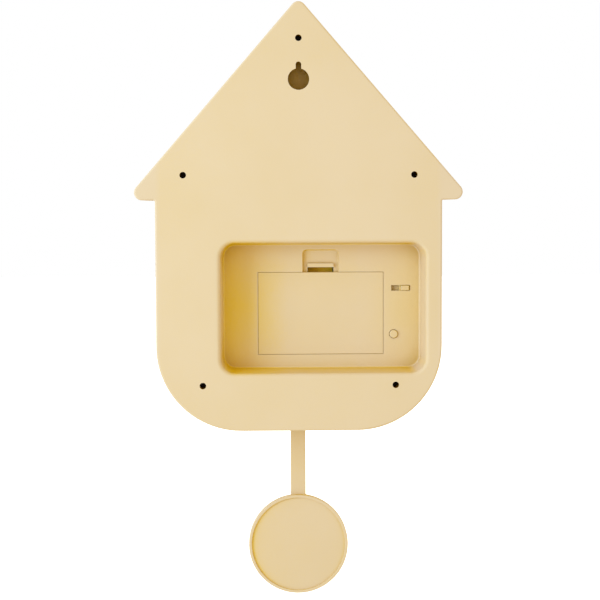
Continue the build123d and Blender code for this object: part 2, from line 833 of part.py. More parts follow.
# Battery box: an open tray behind the recess floor
with BuildPart() as battery_box:
    with BuildSketch(at_depth(floor_back)):
        with Locations((door_x, (flange_top + flange_bottom) / 2)):
            Rectangle(flange_width, flange_top - flange_bottom)
    extrude(amount=box_wall)
    with BuildSketch(at_depth(floor_back)):
        with Locations((door_x, bay_middle)):
            Rectangle(bay_width + 2 * box_wall, bay_height + 2 * box_wall)
    extrude(amount=bay_back + box_wall - floor_back)
    with BuildSketch(at_depth(floor_back)):
        with Locations((door_x, bay_middle)):
            Rectangle(bay_width, bay_height)
    extrude(amount=bay_back - floor_back, mode=Mode.SUBTRACT)
    # Room for the notch pocket, the latch and the door's tabs
    with BuildSketch(at_depth(floor_back)):
        with Locations((door_x, (flange_top + bay_top + box_wall) / 2)):
            Rectangle(notch_width + 2 * notch_floor + 2 * latch_clearance, flange_top - bay_top - box_wall)
    extrude(amount=box_wall, mode=Mode.SUBTRACT)
    with BuildSketch(at_depth(floor_back)):
        with Locations(*[(x, (flange_bottom + bay_bottom) / 2) for x in tab_places]):
            Rectangle(tab_width + 4 * door_gap, bay_bottom - flange_bottom)
    extrude(amount=2 * (tab_thickness + tab_clearance), mode=Mode.SUBTRACT)
finish("battery_box", battery_box)

# Three cells side by side, the middle one turned round
for place, (cell_x, up) in enumerate(zip(cell_places, [1, -1, 1])):
    base = bay_bottom + leaf_height if up > 0 else bay_top - leaf_height
    with BuildPart() as cell:
        with BuildSketch(at_height(base)):
            with Locations((cell_x, -cell_depth)):
                Circle(cell_diameter / 2)
        extrude(amount=up * (cell_length - cell_nub_height))
        fillet(cell.edges().filter_by(GeomType.CIRCLE), 0.8)
        with BuildSketch(at_height(base + up * (cell_length - cell_nub_height))):
            with Locations((cell_x, -cell_depth)):
                Circle(cell_nub_diameter / 2)
        extrude(amount=up * cell_nub_height)
    finish(f"battery_cell_{place + 1}", cell)

# Flat plates that the cells' positive ends touch
with BuildPart() as positive_contacts:
    for cell_x, up in zip(cell_places, [1, -1, 1]):
        end = bay_top if up > 0 else bay_bottom
        with BuildSketch(at_height(end)):
            with Locations((cell_x, -cell_depth)):
                Rectangle(positive_plate_width, positive_plate_width)
        extrude(amount=-up * positive_plate_thickness)
finish("positive_contacts", positive_contacts)

# Bowed leaf springs that the cells' negative ends press on
with BuildPart() as negative_leaves:
    for cell_x, up in zip(cell_places, [1, -1, 1]):
        end = bay_bottom if up > 0 else bay_top
        crown = end + up * (leaf_height - leaf_clearance)
        with BuildSketch(along_x(cell_x)):
            with BuildLine():
                bow = ThreePointArc(
                    (-cell_depth - leaf_span / 2, end + up * leaf_thickness),
                    (-cell_depth, crown),
                    (-cell_depth + leaf_span / 2, end + up * leaf_thickness),
                )
                under = ThreePointArc(
                    (-cell_depth - leaf_span / 2, end),
                    (-cell_depth, crown - up * leaf_thickness),
                    (-cell_depth + leaf_span / 2, end),
                )
                Line(bow @ 0, under @ 0)
                Line(bow @ 1, under @ 1)
            make_face()
        extrude(amount=leaf_width / 2, both=True)
finish("negative_leaves", negative_leaves)

# Battery door with two tabs that hook under the recess floor
with BuildPart() as battery_door:
    with BuildSketch(at_depth(recess_depth - door_proud)):
        with Locations((door_x, -door_drop)):
            Rectangle(door_width, door_height)
    extrude(amount=recess_floor + door_proud)
    fillet(battery_door.edges().group_by(Axis.Y)[-1], door_edge_radius)
    with BuildSketch(at_depth(floor_back)):
        with Locations(*[(x, door_bottom + tab_seat / 2) for x in tab_places]):
            Rectangle(tab_width, tab_seat)
    extrude(amount=tab_thickness + tab_clearance)
    with BuildSketch(at_depth(floor_back + tab_clearance)):
        with Locations(*[(x, door_bottom - tab_reach / 2) for x in tab_places]):
            Rectangle(tab_width, tab_reach)
    extrude(amount=tab_thickness)
finish("battery_door", battery_door)

# The door's U-shaped spring latch: leg, bend, lever with catch, and thumb ledge
with BuildPart() as door_latch:
    with BuildSketch(along_x(door_x)):
        with BuildLine():
            Polyline(
                (-floor_back, door_top - latch_leg_thickness),
                (-latch_bottom, door_top - latch_leg_thickness),
                (-latch_bottom, lever_top),
                (-recess_depth - latch_ledge_sink, lever_top),
                (-recess_depth - latch_ledge_sink, lever_bottom),
                (-latch_bottom + latch_lever_thickness, lever_bottom),
                (-latch_bottom + latch_lever_thickness, door_top),
                (-floor_back, door_top),
                close=True,
            )
        make_face()
    extrude(amount=latch_width / 2, both=True)
    fillet(door_latch.edges().filter_by(Axis.X).group_by(Axis.Y)[0], latch_leg_thickness)
    with BuildSketch(at_depth(recess_depth + latch_ledge_sink)):
        with Locations((door_x, (lever_bottom + lever_top + latch_ledge_reach) / 2)):
            Rectangle(latch_ledge_width, latch_lever_thickness + latch_ledge_reach)
    extrude(amount=latch_ledge_thickness)
    with BuildSketch(at_depth(recess_depth + notch_depth + notch_floor + latch_clearance)):
        with Locations((door_x, lever_top + latch_catch_reach / 2)):
            Rectangle(latch_catch_width, latch_catch_reach)
    extrude(amount=latch_catch_height)
finish("door_latch", door_latch)

# Circuit board behind the recess floor
with BuildPart() as circuit_board:
    with BuildSketch(at_depth(board_depth)):
        with Locations((board_x, -board_drop)):
            Rectangle(board_width, board_height)
        with Locations(*board_screw_places):
            Circle(screw_diameter / 2 + screw_clearance, mode=Mode.SUBTRACT)
    extrude(amount=board_thickness)
finish("circuit_board", circuit_board)

# Black blob over the sound chip, on the board's far side
with BuildPart() as sound_chip:
    with BuildSketch(at_depth(board_depth + board_thickness)):
        with Locations((board_x, -board_drop)):
            Circle(chip_diameter / 2)
    extrude(amount=chip_height, taper=25)
    fillet(sound_chip.edges().group_by(Axis.Y)[0], chip_height / 2)
finish("sound_chip", sound_chip)

# Slide switch: an open tray on the board, and its knob through the slot in the floor
with BuildPart() as slide_switch_body:
    with BuildSketch(at_depth(knob_foot_back)):
        with Locations((switch_x, -switch_drop)):
            Rectangle(switch_body_width + 2 * switch_body_wall, switch_body_height + 2 * switch_body_wall)
    extrude(amount=board_depth - knob_foot_back)
    with BuildSketch(at_depth(knob_foot_front)):
        with Locations((switch_x, -switch_drop)):
            Rectangle(switch_body_width + 2 * switch_body_wall, switch_body_height + 2 * switch_body_wall)
            Rectangle(switch_body_width, switch_body_height, mode=Mode.SUBTRACT)
    extrude(amount=knob_foot_back - knob_foot_front)
finish("slide_switch_body", slide_switch_body)

with BuildPart() as slide_switch_knob:
    with BuildSketch(at_depth(recess_depth - knob_proud)):
        with Locations((knob_rest_x, -switch_drop)):
            Rectangle(knob_width, switch_slot_height - 2 * knob_clearance)
    extrude(amount=knob_foot_front + knob_clearance - recess_depth + knob_proud)
    fillet(slide_switch_knob.edges().group_by(Axis.Y)[-1], 0.4)
    with BuildSketch(at_depth(knob_foot_front + knob_clearance)):
        with Locations((knob_rest_x, -switch_drop)):
            Rectangle(knob_width + 2 * knob_foot_reach, switch_body_height - 2 * knob_clearance)
    extrude(amount=knob_foot_back - knob_clearance / 2 - knob_foot_front - knob_clearance)
finish("slide_switch_knob", slide_switch_knob)

# Push button and the tact switch that it presses
with BuildPart() as tact_switch_body:
    with BuildSketch(at_depth(board_depth - tact_height)):
        with Locations((button_x, -button_drop)):
            RectangleRounded(tact_size, tact_size, 0.6)
    extrude(amount=tact_height)
finish("tact_switch_body", tact_switch_body)

with BuildPart() as push_button:
    with BuildSketch(at_depth(recess_depth - button_proud)):
        with Locations((button_x, -button_drop)):
            Circle(button_diameter / 2)
    extrude(amount=floor_back + button_clearance - recess_depth + button_proud)
    fillet(push_button.edges().group_by(Axis.Y)[-1], 0.6)
    with BuildSketch(at_depth(floor_back + button_clearance)):
        with Locations((button_x, -button_drop)):
            Circle(button_diameter / 2 + button_clearance + button_flange)
    extrude(amount=button_flange_thickness)
    with BuildSketch(at_depth(floor_back + button_clearance + button_flange_thickness)):
        with Locations((button_x, -button_drop)):
            Circle(button_diameter / 4)
    extrude(amount=button_stem)
finish("push_button", push_button)

# Speaker: basket with its flange down, cone and magnet
with BuildPart() as speaker_basket:
    with BuildSketch(at_height(speaker_seat)):
        with Locations((speaker_x, -speaker_depth_place)):
            Circle(speaker_diameter / 2)
    extrude(amount=speaker_flange)
    with BuildSketch(at_height(speaker_seat + speaker_flange)):
        with Locations((speaker_x, -speaker_depth_place)):
            Circle(speaker_diameter / 2 - speaker_flange_width)
    extrude(amount=speaker_basket_height, taper=20)
    with BuildSketch(at_height(speaker_seat)):
        with Locations((speaker_x, -speaker_depth_place)):
            Circle(cone_radius)
    extrude(amount=speaker_flange, mode=Mode.SUBTRACT)
    with BuildSketch(at_height(speaker_seat + speaker_flange)):
        with Locations((speaker_x, -speaker_depth_place)):
            Circle(cone_radius)
    extrude(amount=speaker_basket_height - speaker_basket_wall, taper=20, mode=Mode.SUBTRACT)
finish("speaker_basket", speaker_basket)

with BuildPart() as speaker_cone:
    with BuildSketch(Plane.XZ.offset(speaker_depth_place)):
        with BuildLine():
            Polyline(
                (speaker_x, cone_top),
                (speaker_x + speaker_magnet_diameter / 4, cone_top),
                (speaker_x + cone_radius, speaker_seat + speaker_cone_thickness),
                (speaker_x + cone_radius, speaker_seat),
                (speaker_x + speaker_magnet_diameter / 4, cone_top - speaker_cone_thickness),
                (speaker_x, cone_top - speaker_cone_thickness),
                close=True,
            )
        make_face()
    revolve(axis=Axis((speaker_x, -speaker_depth_place, 0), (0, 0, 1)))
finish("speaker_cone", speaker_cone)

with BuildPart() as speaker_magnet:
    with BuildSketch(at_height(speaker_seat + speaker_flange + speaker_basket_height)):
        with Locations((speaker_x, -speaker_depth_place)):
            Circle(speaker_magnet_diameter / 2)
    extrude(amount=speaker_magnet_height)
    chamfer(speaker_magnet.edges().group_by(Axis.Z)[-1], 0.4)
finish("speaker_magnet", speaker_magnet)

# Dial and its raised hour bars
with BuildPart() as dial_plate:
    with BuildSketch(at_depth(well_front)):
        with Locations((0, -dial_drop)):
            Circle(dial_radius)
            Circle(bushing_diameter / 2 + dial_hole_clearance, mode=Mode.SUBTRACT)
    extrude(amount=dial_thickness)
finish("dial_plate", dial_plate)

with BuildPart() as hour_markers:
    with BuildSketch(at_depth(dial_front)):
        with Locations((0, -dial_drop)):
            with PolarLocations(hour_mark_radius, 4):
                Rectangle(quarter_marker_length, quarter_marker_width)
            for hour in (1, 2):
                with PolarLocations(hour_mark_radius, 4, start_angle=360 / 12 * hour):
                    Rectangle(marker_length, marker_width)
    extrude(amount=marker_height)
finish("hour_markers", hour_markers)

# Movement: two half-cases, coil, bushing, washer and nut
with BuildPart() as movement_rear_case:
    with BuildSketch(at_depth(movement_back)):
        with Locations((0, -dial_drop)):
            RectangleRounded(movement_size, movement_size, movement_radius)
    extrude(amount=movement_split)
    with BuildSketch(at_depth(movement_back + movement_wall)):
        with Locations((0, -dial_drop)):
            RectangleRounded(movement_inside, movement_inside, movement_radius - movement_wall)
    extrude(amount=movement_split - movement_wall, mode=Mode.SUBTRACT)
    # Socket for the minute arbor, post for the motion wheel and rest for the coil
    with BuildSketch(at_depth(movement_back + movement_wall)):
        with Locations((0, -dial_drop)):
            Circle(minute_arbor_diameter / 2 + arbor_clearance + arbor_socket_wall)
            Circle(minute_arbor_diameter / 2 + arbor_clearance, mode=Mode.SUBTRACT)
    extrude(amount=arbor_socket_depth)
    with BuildSketch(at_depth(movement_back + movement_wall)):
        with Locations((0, motion_axis)):
            Circle(motion_post_diameter)
    extrude(amount=motion_wheel_depth - wheel_spacing / 2 - movement_back - movement_wall)
    with BuildSketch(at_depth(movement_back + movement_wall)):
        with Locations((0, motion_axis)):
            Circle(motion_post_diameter / 2)
    extrude(amount=motion_post_top - movement_back - movement_wall)
finish("movement_rear_case", movement_rear_case)

with BuildPart() as movement_front_case:
    with BuildSketch(at_depth(movement_joint)):
        with Locations((0, -dial_drop)):
            RectangleRounded(movement_size, movement_size, movement_radius)
    extrude(amount=movement_front - movement_joint)
    with BuildSketch(at_depth(movement_joint)):
        with Locations((0, -dial_drop)):
            RectangleRounded(movement_inside, movement_inside, movement_radius - movement_wall)
    extrude(amount=movement_front - movement_joint - movement_wall, mode=Mode.SUBTRACT)
    with BuildSketch(at_depth(movement_front - movement_wall)):
        with Locations((0, -dial_drop)):
            Circle(bushing_diameter / 2 + bushing_clearance)
    extrude(amount=movement_wall, mode=Mode.SUBTRACT)
finish("movement_front_case", movement_front_case)

with BuildPart() as stepper_coil:
    with BuildSketch(along_x(stepper_x)):
        with Locations((-stepper_depth, -dial_drop - stepper_drop)):
            Circle(stepper_coil_diameter / 2)
    extrude(amount=stepper_coil_length / 2, both=True)
    with BuildSketch(along_x(stepper_x - stepper_coil_length / 2 + stepper_flange_thickness)):
        with Locations((-stepper_depth, -dial_drop - stepper_drop)):
            Circle(stepper_coil_diameter / 2)
            Circle(stepper_coil_diameter / 2 - 0.6, mode=Mode.SUBTRACT)
    extrude(amount=stepper_coil_length - 2 * stepper_flange_thickness, mode=Mode.SUBTRACT)
finish("stepper_coil", stepper_coil)

with BuildPart() as movement_bushing:
    with BuildSketch(at_depth(bushing_back)):
        with Locations((0, -dial_drop)):
            Circle(bushing_flange_diameter / 2)
    extrude(amount=bushing_flange_thickness)
    with BuildSketch(at_depth(movement_front - movement_wall)):
        with Locations((0, -dial_drop)):
            Circle(bushing_diameter / 2)
    extrude(amount=bushing_front - movement_front + movement_wall)
    with BuildSketch(at_depth(bushing_back)):
        with Locations((0, -dial_drop)):
            Circle(bushing_bore / 2)
    extrude(amount=bushing_front - bushing_back, mode=Mode.SUBTRACT)
finish("movement_bushing", movement_bushing)

with BuildPart() as movement_washer:
    with BuildSketch(at_depth(movement_front)):
        with Locations((0, -dial_drop)):
            Circle(washer_diameter / 2)
            Circle(bushing_diameter / 2 + bushing_clearance, mode=Mode.SUBTRACT)
    extrude(amount=washer_thickness)
finish("movement_washer", movement_washer)

with BuildPart() as movement_nut:
    with BuildSketch(at_depth(dial_front)):
        with Locations((0, -dial_drop)):
            RegularPolygon(nut_across_flats / 2, 6, major_radius=False)
            Circle(bushing_diameter / 2 + bushing_clearance, mode=Mode.SUBTRACT)
    extrude(amount=nut_height)
finish("movement_nut", movement_nut)

# Minute arbor with its cannon pinion
with BuildPart() as minute_arbor:
    with BuildSketch(at_depth(movement_back + movement_wall + arbor_clearance)):
        with Locations((0, -dial_drop)):
            Circle(minute_arbor_diameter / 2)
    extrude(amount=minute_hand_depth + hand_thickness - movement_back - movement_wall - arbor_clearance)
    with BuildSketch(Plane((0, -motion_wheel_depth, -dial_drop), x_dir=(1, 0, 0), z_dir=(0, -1, 0))):
        with BuildLine():
            Polyline(*gear_corners(cannon_teeth, motion_module, 90), close=True)
        make_face()
    extrude(amount=wheel_thickness)
finish("minute_arbor", minute_arbor)

# Motion wheel with its pinion, on the post
with BuildPart() as motion_wheel:
    with BuildSketch(Plane((0, -motion_wheel_depth, motion_axis), x_dir=(1, 0, 0), z_dir=(0, -1, 0))):
        with BuildLine():
            Polyline(
                *gear_corners(motion_wheel_teeth, motion_module, 270 + 180 / motion_wheel_teeth),
                close=True,
            )
        make_face()
    extrude(amount=wheel_thickness)
    with BuildSketch(
        Plane((0, -motion_wheel_depth - wheel_thickness, motion_axis), x_dir=(1, 0, 0), z_dir=(0, -1, 0))
    ):
        with BuildLine():
            Polyline(*gear_corners(motion_pinion_teeth, hour_module, 270), close=True)
        make_face()
    extrude(amount=wheel_spacing + wheel_thickness)
    with BuildSketch(at_depth(motion_wheel_depth)):
        with Locations((0, motion_axis)):
            Circle(motion_post_diameter / 2 + arbor_clearance)
    extrude(amount=wheel_spacing + 2 * wheel_thickness, mode=Mode.SUBTRACT)
finish("motion_wheel", motion_wheel)

# Hour wheel with the tube that carries the hour hand
with BuildPart() as hour_wheel:
    with BuildSketch(Plane((0, -hour_wheel_depth, -dial_drop), x_dir=(1, 0, 0), z_dir=(0, -1, 0))):
        with BuildLine():
            Polyline(*gear_corners(hour_wheel_teeth, hour_module, 90 + 180 / hour_wheel_teeth), close=True)
        make_face()
    extrude(amount=wheel_thickness)
    with BuildSketch(at_depth(hour_wheel_depth)):
        with Locations((0, -dial_drop)):
            Circle(hour_tube_diameter / 2)
    extrude(amount=hour_hand_depth + hand_thickness - hour_wheel_depth)
    with BuildSketch(at_depth(hour_wheel_depth)):
        with Locations((0, -dial_drop)):
            Circle(minute_arbor_diameter / 2 + arbor_clearance)
    extrude(amount=hour_hand_depth + hand_thickness - hour_wheel_depth, mode=Mode.SUBTRACT)
finish("hour_wheel", hour_wheel)

# Hands: a tapered blade with a round hub, turned to its place on the dial
hour_sizes = (hour_hand_length, hour_hand_width, hour_tube_diameter, hour_hand_angle)
minute_sizes = (minute_hand_length, minute_hand_width, minute_arbor_diameter, minute_hand_angle)
for name, depth, (length, width, shaft, angle) in (
    ("hour_hand", hour_hand_depth, hour_sizes),
    ("minute_hand", minute_hand_depth, minute_sizes),
):
    tip_half = width * hand_taper / 2
    with BuildPart() as hand:
        with BuildSketch(at_depth(depth)):
            with Locations(Location((0, -dial_drop, 0), (0, 0, -angle))):
                Polygon(
                    (-width / 2, -hand_tail),
                    (width / 2, -hand_tail),
                    (tip_half, length),
                    (-tip_half, length),
                    align=None,
                )
            with Locations((0, -dial_drop)):
                Circle(shaft / 2 + hand_hub_margin)
                Circle(shaft / 2 + hand_fit, mode=Mode.SUBTRACT)
        extrude(amount=hand_thickness)
    finish(name, hand)

with BuildPart() as hand_cap:
    with BuildSketch(at_depth(minute_hand_depth + hand_thickness)):
        with Locations((0, -dial_drop)):
            Circle(cap_diameter / 2)
    extrude(amount=cap_height)
    fillet(hand_cap.edges().group_by(Axis.Y)[0], cap_height * 0.7)
finish("hand_cap", hand_cap)

# Hinge pins of the two door leaves, fixed in the housing
for name, side in (("left_door_pin", -1), ("right_door_pin", 1)):
    with BuildPart() as pin:
        with BuildSketch(at_height(-opening_sill_drop - hinge_pin_bury + hinge_pin_clearance)):
            with Locations((side * hinge_x, -hinge_depth)):
                Circle(hinge_pin_diameter / 2)
        extrude(amount=hinge_pin_length)
    finish(name, pin)

# Door leaves: half of the opening each, with a round edge about the pin
for name, side in (("left_door", -1), ("right_door", 1)):
    with BuildPart() as leaf:
        with BuildSketch(at_depth(front_depth - door_leaf_thickness)):
            with Locations((0, (leaf_bottom + leaf_shoulder) / 2)):
                Rectangle(opening_width - 2 * leaf_gap, leaf_shoulder - leaf_bottom)
            with Locations((0, arch_height)):
                Circle(arch_radius - leaf_gap)
            with Locations((side * (hinge_x + leaf_gap / 2) / 2, arch_height)):
                Rectangle(hinge_x - leaf_gap / 2, 2 * opening_width, mode=Mode.INTERSECT)
        extrude(amount=door_leaf_thickness)
        # Sunk panel on the leaf's face
        with BuildSketch(at_depth(front_depth - leaf_panel_sink)):
            with Locations((0, (panel_bottom + arch_height) / 2)):
                Rectangle(2 * panel_radius, arch_height - panel_bottom)
            with Locations((0, arch_height)):
                Circle(panel_radius)
            with Locations((side * (panel_inside + panel_radius) / 2, arch_height)):
                Rectangle(panel_radius - panel_inside, 2 * opening_width, mode=Mode.INTERSECT)
        extrude(amount=leaf_panel_sink, mode=Mode.SUBTRACT)
        with BuildSketch(at_height(leaf_bottom)):
            with Locations((side * hinge_x, -hinge_depth)):
                Circle(door_leaf_thickness / 2)
        extrude(amount=leaf_shoulder - leaf_bottom)
        with BuildSketch(at_height(leaf_bottom)):
            with Locations((side * hinge_x, -hinge_depth)):
                Circle(hinge_pin_diameter / 2 + hinge_pin_clearance)
        extrude(amount=leaf_shoulder - leaf_bottom, mode=Mode.SUBTRACT)
    finish(name, leaf)

# Cuckoo frame: a railed channel with ears for the gear, a band for the motor and a flange for its screws
with BuildPart() as cuckoo_frame:
    with BuildSketch(at_depth(rail_start_depth)):
        with Locations((0, (rail_under + rail_top) / 2)):
            Rectangle(2 * rail_half, rail_top - rail_under)
        with Locations((0, (rail_floor - sled_top_drop + sled_clearance) / 2)):
            Rectangle(rail_gap, sled_thickness + 2 * sled_clearance, mode=Mode.SUBTRACT)
        with Locations((0, rail_top - rail_lip_thickness / 2)):
            Rectangle(rail_gap - 2 * rail_lip, rail_lip_thickness, mode=Mode.SUBTRACT)
    extrude(amount=frame_front - rail_start_depth)
    with BuildSketch(at_depth(frame_front - frame_flange_thickness)):
        with Locations((0, rail_under - frame_flange_height / 2)):
            Rectangle(frame_flange_width, frame_flange_height)
    extrude(amount=frame_flange_thickness)
    # Ears below the channel
    for ear in (-ear_x, ear_x):
        with BuildSketch(along_x(ear)):
            with Locations((-pinion_depth, pinion_axis)):
                Circle(ear_width / 2)
            with Locations((-pinion_depth, (pinion_axis + rail_under) / 2)):
                Rectangle(ear_width, rail_under - pinion_axis)
        extrude(amount=ear_thickness / 2, both=True)
    # Band round the motor
    with BuildSketch(along_x(motor_x - cradle_width / 2)):
        with Locations((-pinion_depth, (rail_under + cradle_bottom) / 2)):
            Rectangle(
                motor_width + 2 * (cradle_clearance + cradle_wall), rail_under - cradle_bottom
            )
            Rectangle(motor_width + 2 * cradle_clearance, rail_under - cradle_bottom, mode=Mode.SUBTRACT)
        with Locations((-pinion_depth, cradle_bottom + cradle_wall / 2)):
            Rectangle(motor_width + 2 * (cradle_clearance + cradle_wall), cradle_wall)
    extrude(amount=cradle_width)
    # Slot for the rack, bores for the gear's shaft and holes for the screws
    with BuildSketch(at_depth(rail_start_depth + rail_wall)):
        with Locations((0, (rail_floor + rack_slot_bottom) / 2)):
            Rectangle(rack_width + 2 * rail_slot_clearance, rail_floor - rack_slot_bottom)
    extrude(amount=frame_front - rail_start_depth - rail_wall, mode=Mode.SUBTRACT)
    with BuildSketch(along_x(-ear_x - ear_thickness)):
        with Locations((-pinion_depth, pinion_axis)):
            Circle(drive_shaft_diameter / 2 + shaft_clearance)
    extrude(amount=2 * ear_x + 2 * ear_thickness, mode=Mode.SUBTRACT)
    with BuildSketch(at_depth(frame_front - frame_flange_thickness)):
        with Locations(*frame_screw_places):
            Circle(screw_diameter / 2 + screw_clearance)
    extrude(amount=frame_flange_thickness, mode=Mode.SUBTRACT)
finish("cuckoo_frame", cuckoo_frame)

# Bird carriage: the sled, the rack below it and the post that the bird stands on
with BuildPart() as bird_carriage:
    with BuildSketch(at_depth(sled_back_depth)):
        with Locations((0, sled_bottom + sled_thickness / 2)):
            Rectangle(sled_width, sled_thickness)
    extrude(amount=sled_length)
    with BuildSketch(along_x(-rack_width / 2)):
        with BuildLine():
            Polyline(*rack_corners, close=True)
        make_face()
    extrude(amount=rack_width)
    with BuildSketch(at_height(-sled_top_drop)):
        with Locations((0, -post_depth)):
            Circle(post_diameter / 2)
    extrude(amount=bird_foot + sled_top_drop)
finish("bird_carriage", bird_carriage)

# The bird: body, head, beak, tail and folded wings in one piece
with BuildPart() as cuckoo_bird:
    with BuildSketch(Plane.YZ) as body_sketch:
        with BuildLine():
            ThreePointArc(
                (-bird_depth - bird_body_length / 2, -bird_drop - bird_end_radius),
                (-bird_depth, -bird_drop - bird_body_radius),
                (-bird_depth + bird_body_length / 2, -bird_drop - bird_end_radius),
            )
            Polyline(
                (-bird_depth + bird_body_length / 2, -bird_drop - bird_end_radius),
                (-bird_depth + bird_body_length / 2, -bird_drop),
                (-bird_depth - bird_body_length / 2, -bird_drop),
                (-bird_depth - bird_body_length / 2, -bird_drop - bird_end_radius),
            )
        make_face()
        fillet(body_sketch.vertices().group_by(Axis.Y)[0], bird_end_round)
    revolve(axis=Axis((0, -bird_depth, -bird_drop), (0, 1, 0)))
    with Locations((0, -bird_depth - head_lead, -bird_drop + head_rise)):
        Sphere(head_radius)
    with BuildSketch(Plane.YZ):
        with Locations((-bird_depth - head_lead - head_radius, -bird_drop + head_rise)):
            beak_corners = [(1, 0), (1, beak_radius), (-beak_length, beak_tip_radius), (-beak_length, 0)]
            Polygon(*beak_corners, align=None)
    revolve(axis=Axis((0, -bird_depth, -bird_drop + head_rise), (0, 1, 0)))
    tail_way = (0, cos(radians(tail_tilt)), sin(radians(tail_tilt)))
    with BuildSketch(
        Plane((0, -bird_depth + bird_body_length / 4, -bird_drop), x_dir=(1, 0, 0), z_dir=tail_way)
    ):
        RectangleRounded(tail_width, tail_thickness, tail_thickness * 0.45)
    extrude(amount=bird_body_length / 4 + tail_length)
    wing_place = (-bird_depth + bird_body_length / 12, -bird_drop + bird_body_radius / 6, 0)
    with BuildSketch(Plane.YZ):
        with Locations(Location(wing_place, (0, 0, wing_tilt))):
            Ellipse(wing_length / 2, wing_height / 2)
    extrude(amount=bird_body_radius + wing_thickness / 2, both=True)
    with BuildSketch(at_height(bird_foot)):
        with Locations((0, -bird_depth)):
            Rectangle(4 * bird_body_radius, 2 * bird_body_length)
    extrude(amount=-bird_body_radius, mode=Mode.SUBTRACT)
finish("cuckoo_bird", cuckoo_bird)

# Drive gear: rack pinion and large wheel on one shaft
with BuildPart() as drive_gear:
    with BuildSketch(along_x(-ear_x - ear_thickness)):
        with Locations((-pinion_depth, pinion_axis)):
            Circle(drive_shaft_diameter / 2)
    extrude(amount=ear_x + ear_thickness + drive_wheel_x + drive_wheel_width + ear_thickness / 2)
    with BuildSketch(Plane((-rack_width / 2, -pinion_depth, pinion_axis), x_dir=(0, 1, 0), z_dir=(1, 0, 0))):
        with BuildLine():
            Polyline(*gear_corners(pinion_teeth, rack_module, 90), close=True)
        make_face()
    extrude(amount=rack_width)
    with BuildSketch(Plane((drive_wheel_x, -pinion_depth, pinion_axis), x_dir=(0, 1, 0), z_dir=(1, 0, 0))):
        with BuildLine():
            Polyline(*gear_corners(drive_wheel_teeth, drive_module, 270), close=True)
        make_face()
    extrude(amount=drive_wheel_width)
finish("drive_gear", drive_gear)

# Motor can with flat sides, and the pinion on its shaft
with BuildPart() as cuckoo_motor:
    with BuildSketch(along_x(motor_x - motor_length / 2)):
        with Locations((-pinion_depth, motor_axis)):
            Circle(motor_width / 2)
            Rectangle(motor_width, motor_height, mode=Mode.INTERSECT)
    extrude(amount=motor_length)
    with BuildSketch(along_x(motor_x - motor_length / 2)):
        with Locations((-pinion_depth, motor_axis)):
            Circle(motor_width / 6)
    extrude(amount=-motor_gap)
    with BuildSketch(along_x(motor_x + motor_length / 2)):
        with Locations((-pinion_depth, motor_axis)):
            Circle(motor_shaft_diameter / 2 + shaft_clearance)
    extrude(amount=-motor_length / 2, mode=Mode.SUBTRACT)
finish("cuckoo_motor", cuckoo_motor)

with BuildPart() as motor_pinion:
    with BuildSketch(
        Plane(
            (drive_wheel_x - gear_side_gap / 2, -pinion_depth, motor_axis), x_dir=(0, 1, 0), z_dir=(1, 0, 0)
        )
    ):
        with BuildLine():
            Polyline(
                *gear_corners(motor_pinion_teeth, drive_module, 90 + 180 / motor_pinion_teeth),
                close=True,
            )
        make_face()
    extrude(amount=drive_wheel_width + gear_side_gap)
    with BuildSketch(along_x(motor_x + shaft_clearance)):
        with Locations((-pinion_depth, motor_axis)):
            Circle(motor_shaft_diameter / 2)
    extrude(amount=drive_wheel_x + drive_wheel_width + gear_side_gap - motor_x)
finish("motor_pinion", motor_pinion)

# Pendulum mount: a plate on two bosses, with a post for the pivot pin
with BuildPart() as pendulum_mount:
    with BuildSketch(at_depth(mount_back)):
        with Locations((0, -pivot_drop + mount_rise - mount_height / 2)):
            RectangleRounded(mount_width, mount_height, 3)
        with Locations(*mount_screw_places):
            Circle(screw_diameter / 2 + screw_clearance, mode=Mode.SUBTRACT)
    extrude(amount=mount_thickness)
    with BuildSketch(at_depth(mount_back)):
        with Locations((0, -pivot_drop)):
            Circle(mount_boss_diameter / 2)
    extrude(amount=-mount_boss_length)
    with BuildSketch(at_depth(mount_back - mount_boss_length)):
        with Locations((0, -pivot_drop)):
            Circle(pivot_pin_diameter / 2)
    extrude(amount=mount_boss_length + mount_thickness, mode=Mode.SUBTRACT)
finish("pendulum_mount", pendulum_mount)

with BuildPart() as pivot_pin:
    with BuildSketch(at_depth(pin_back)):
        with Locations((0, -pivot_drop)):
            Circle(pivot_pin_diameter / 2)
    extrude(amount=mount_front - pin_back)
finish("pivot_pin", pivot_pin)

with BuildPart() as pivot_clip:
    with BuildSketch(at_depth(pin_back + clip_thickness)):
        with Locations((0, -pivot_drop)):
            Circle(clip_diameter / 2)
            Circle(pivot_pin_diameter / 2, mode=Mode.SUBTRACT)
    extrude(amount=clip_thickness)
finish("pivot_clip", pivot_clip)

# Drive coil on the mount, facing the pendulum's magnet
with BuildPart() as drive_coil:
    with BuildSketch(at_depth(coil_back)):
        with Locations((0, -pivot_drop - magnet_drop)):
            Circle(coil_diameter / 2)
    extrude(amount=coil_length)
    with BuildSketch(at_depth(coil_back + coil_flange_thickness)):
        with Locations((0, -pivot_drop - magnet_drop)):
            Circle(coil_diameter / 2)
            Circle(coil_diameter / 2 - coil_inset, mode=Mode.SUBTRACT)
    extrude(amount=coil_length - 2 * coil_flange_thickness, mode=Mode.SUBTRACT)
finish("drive_coil", drive_coil)

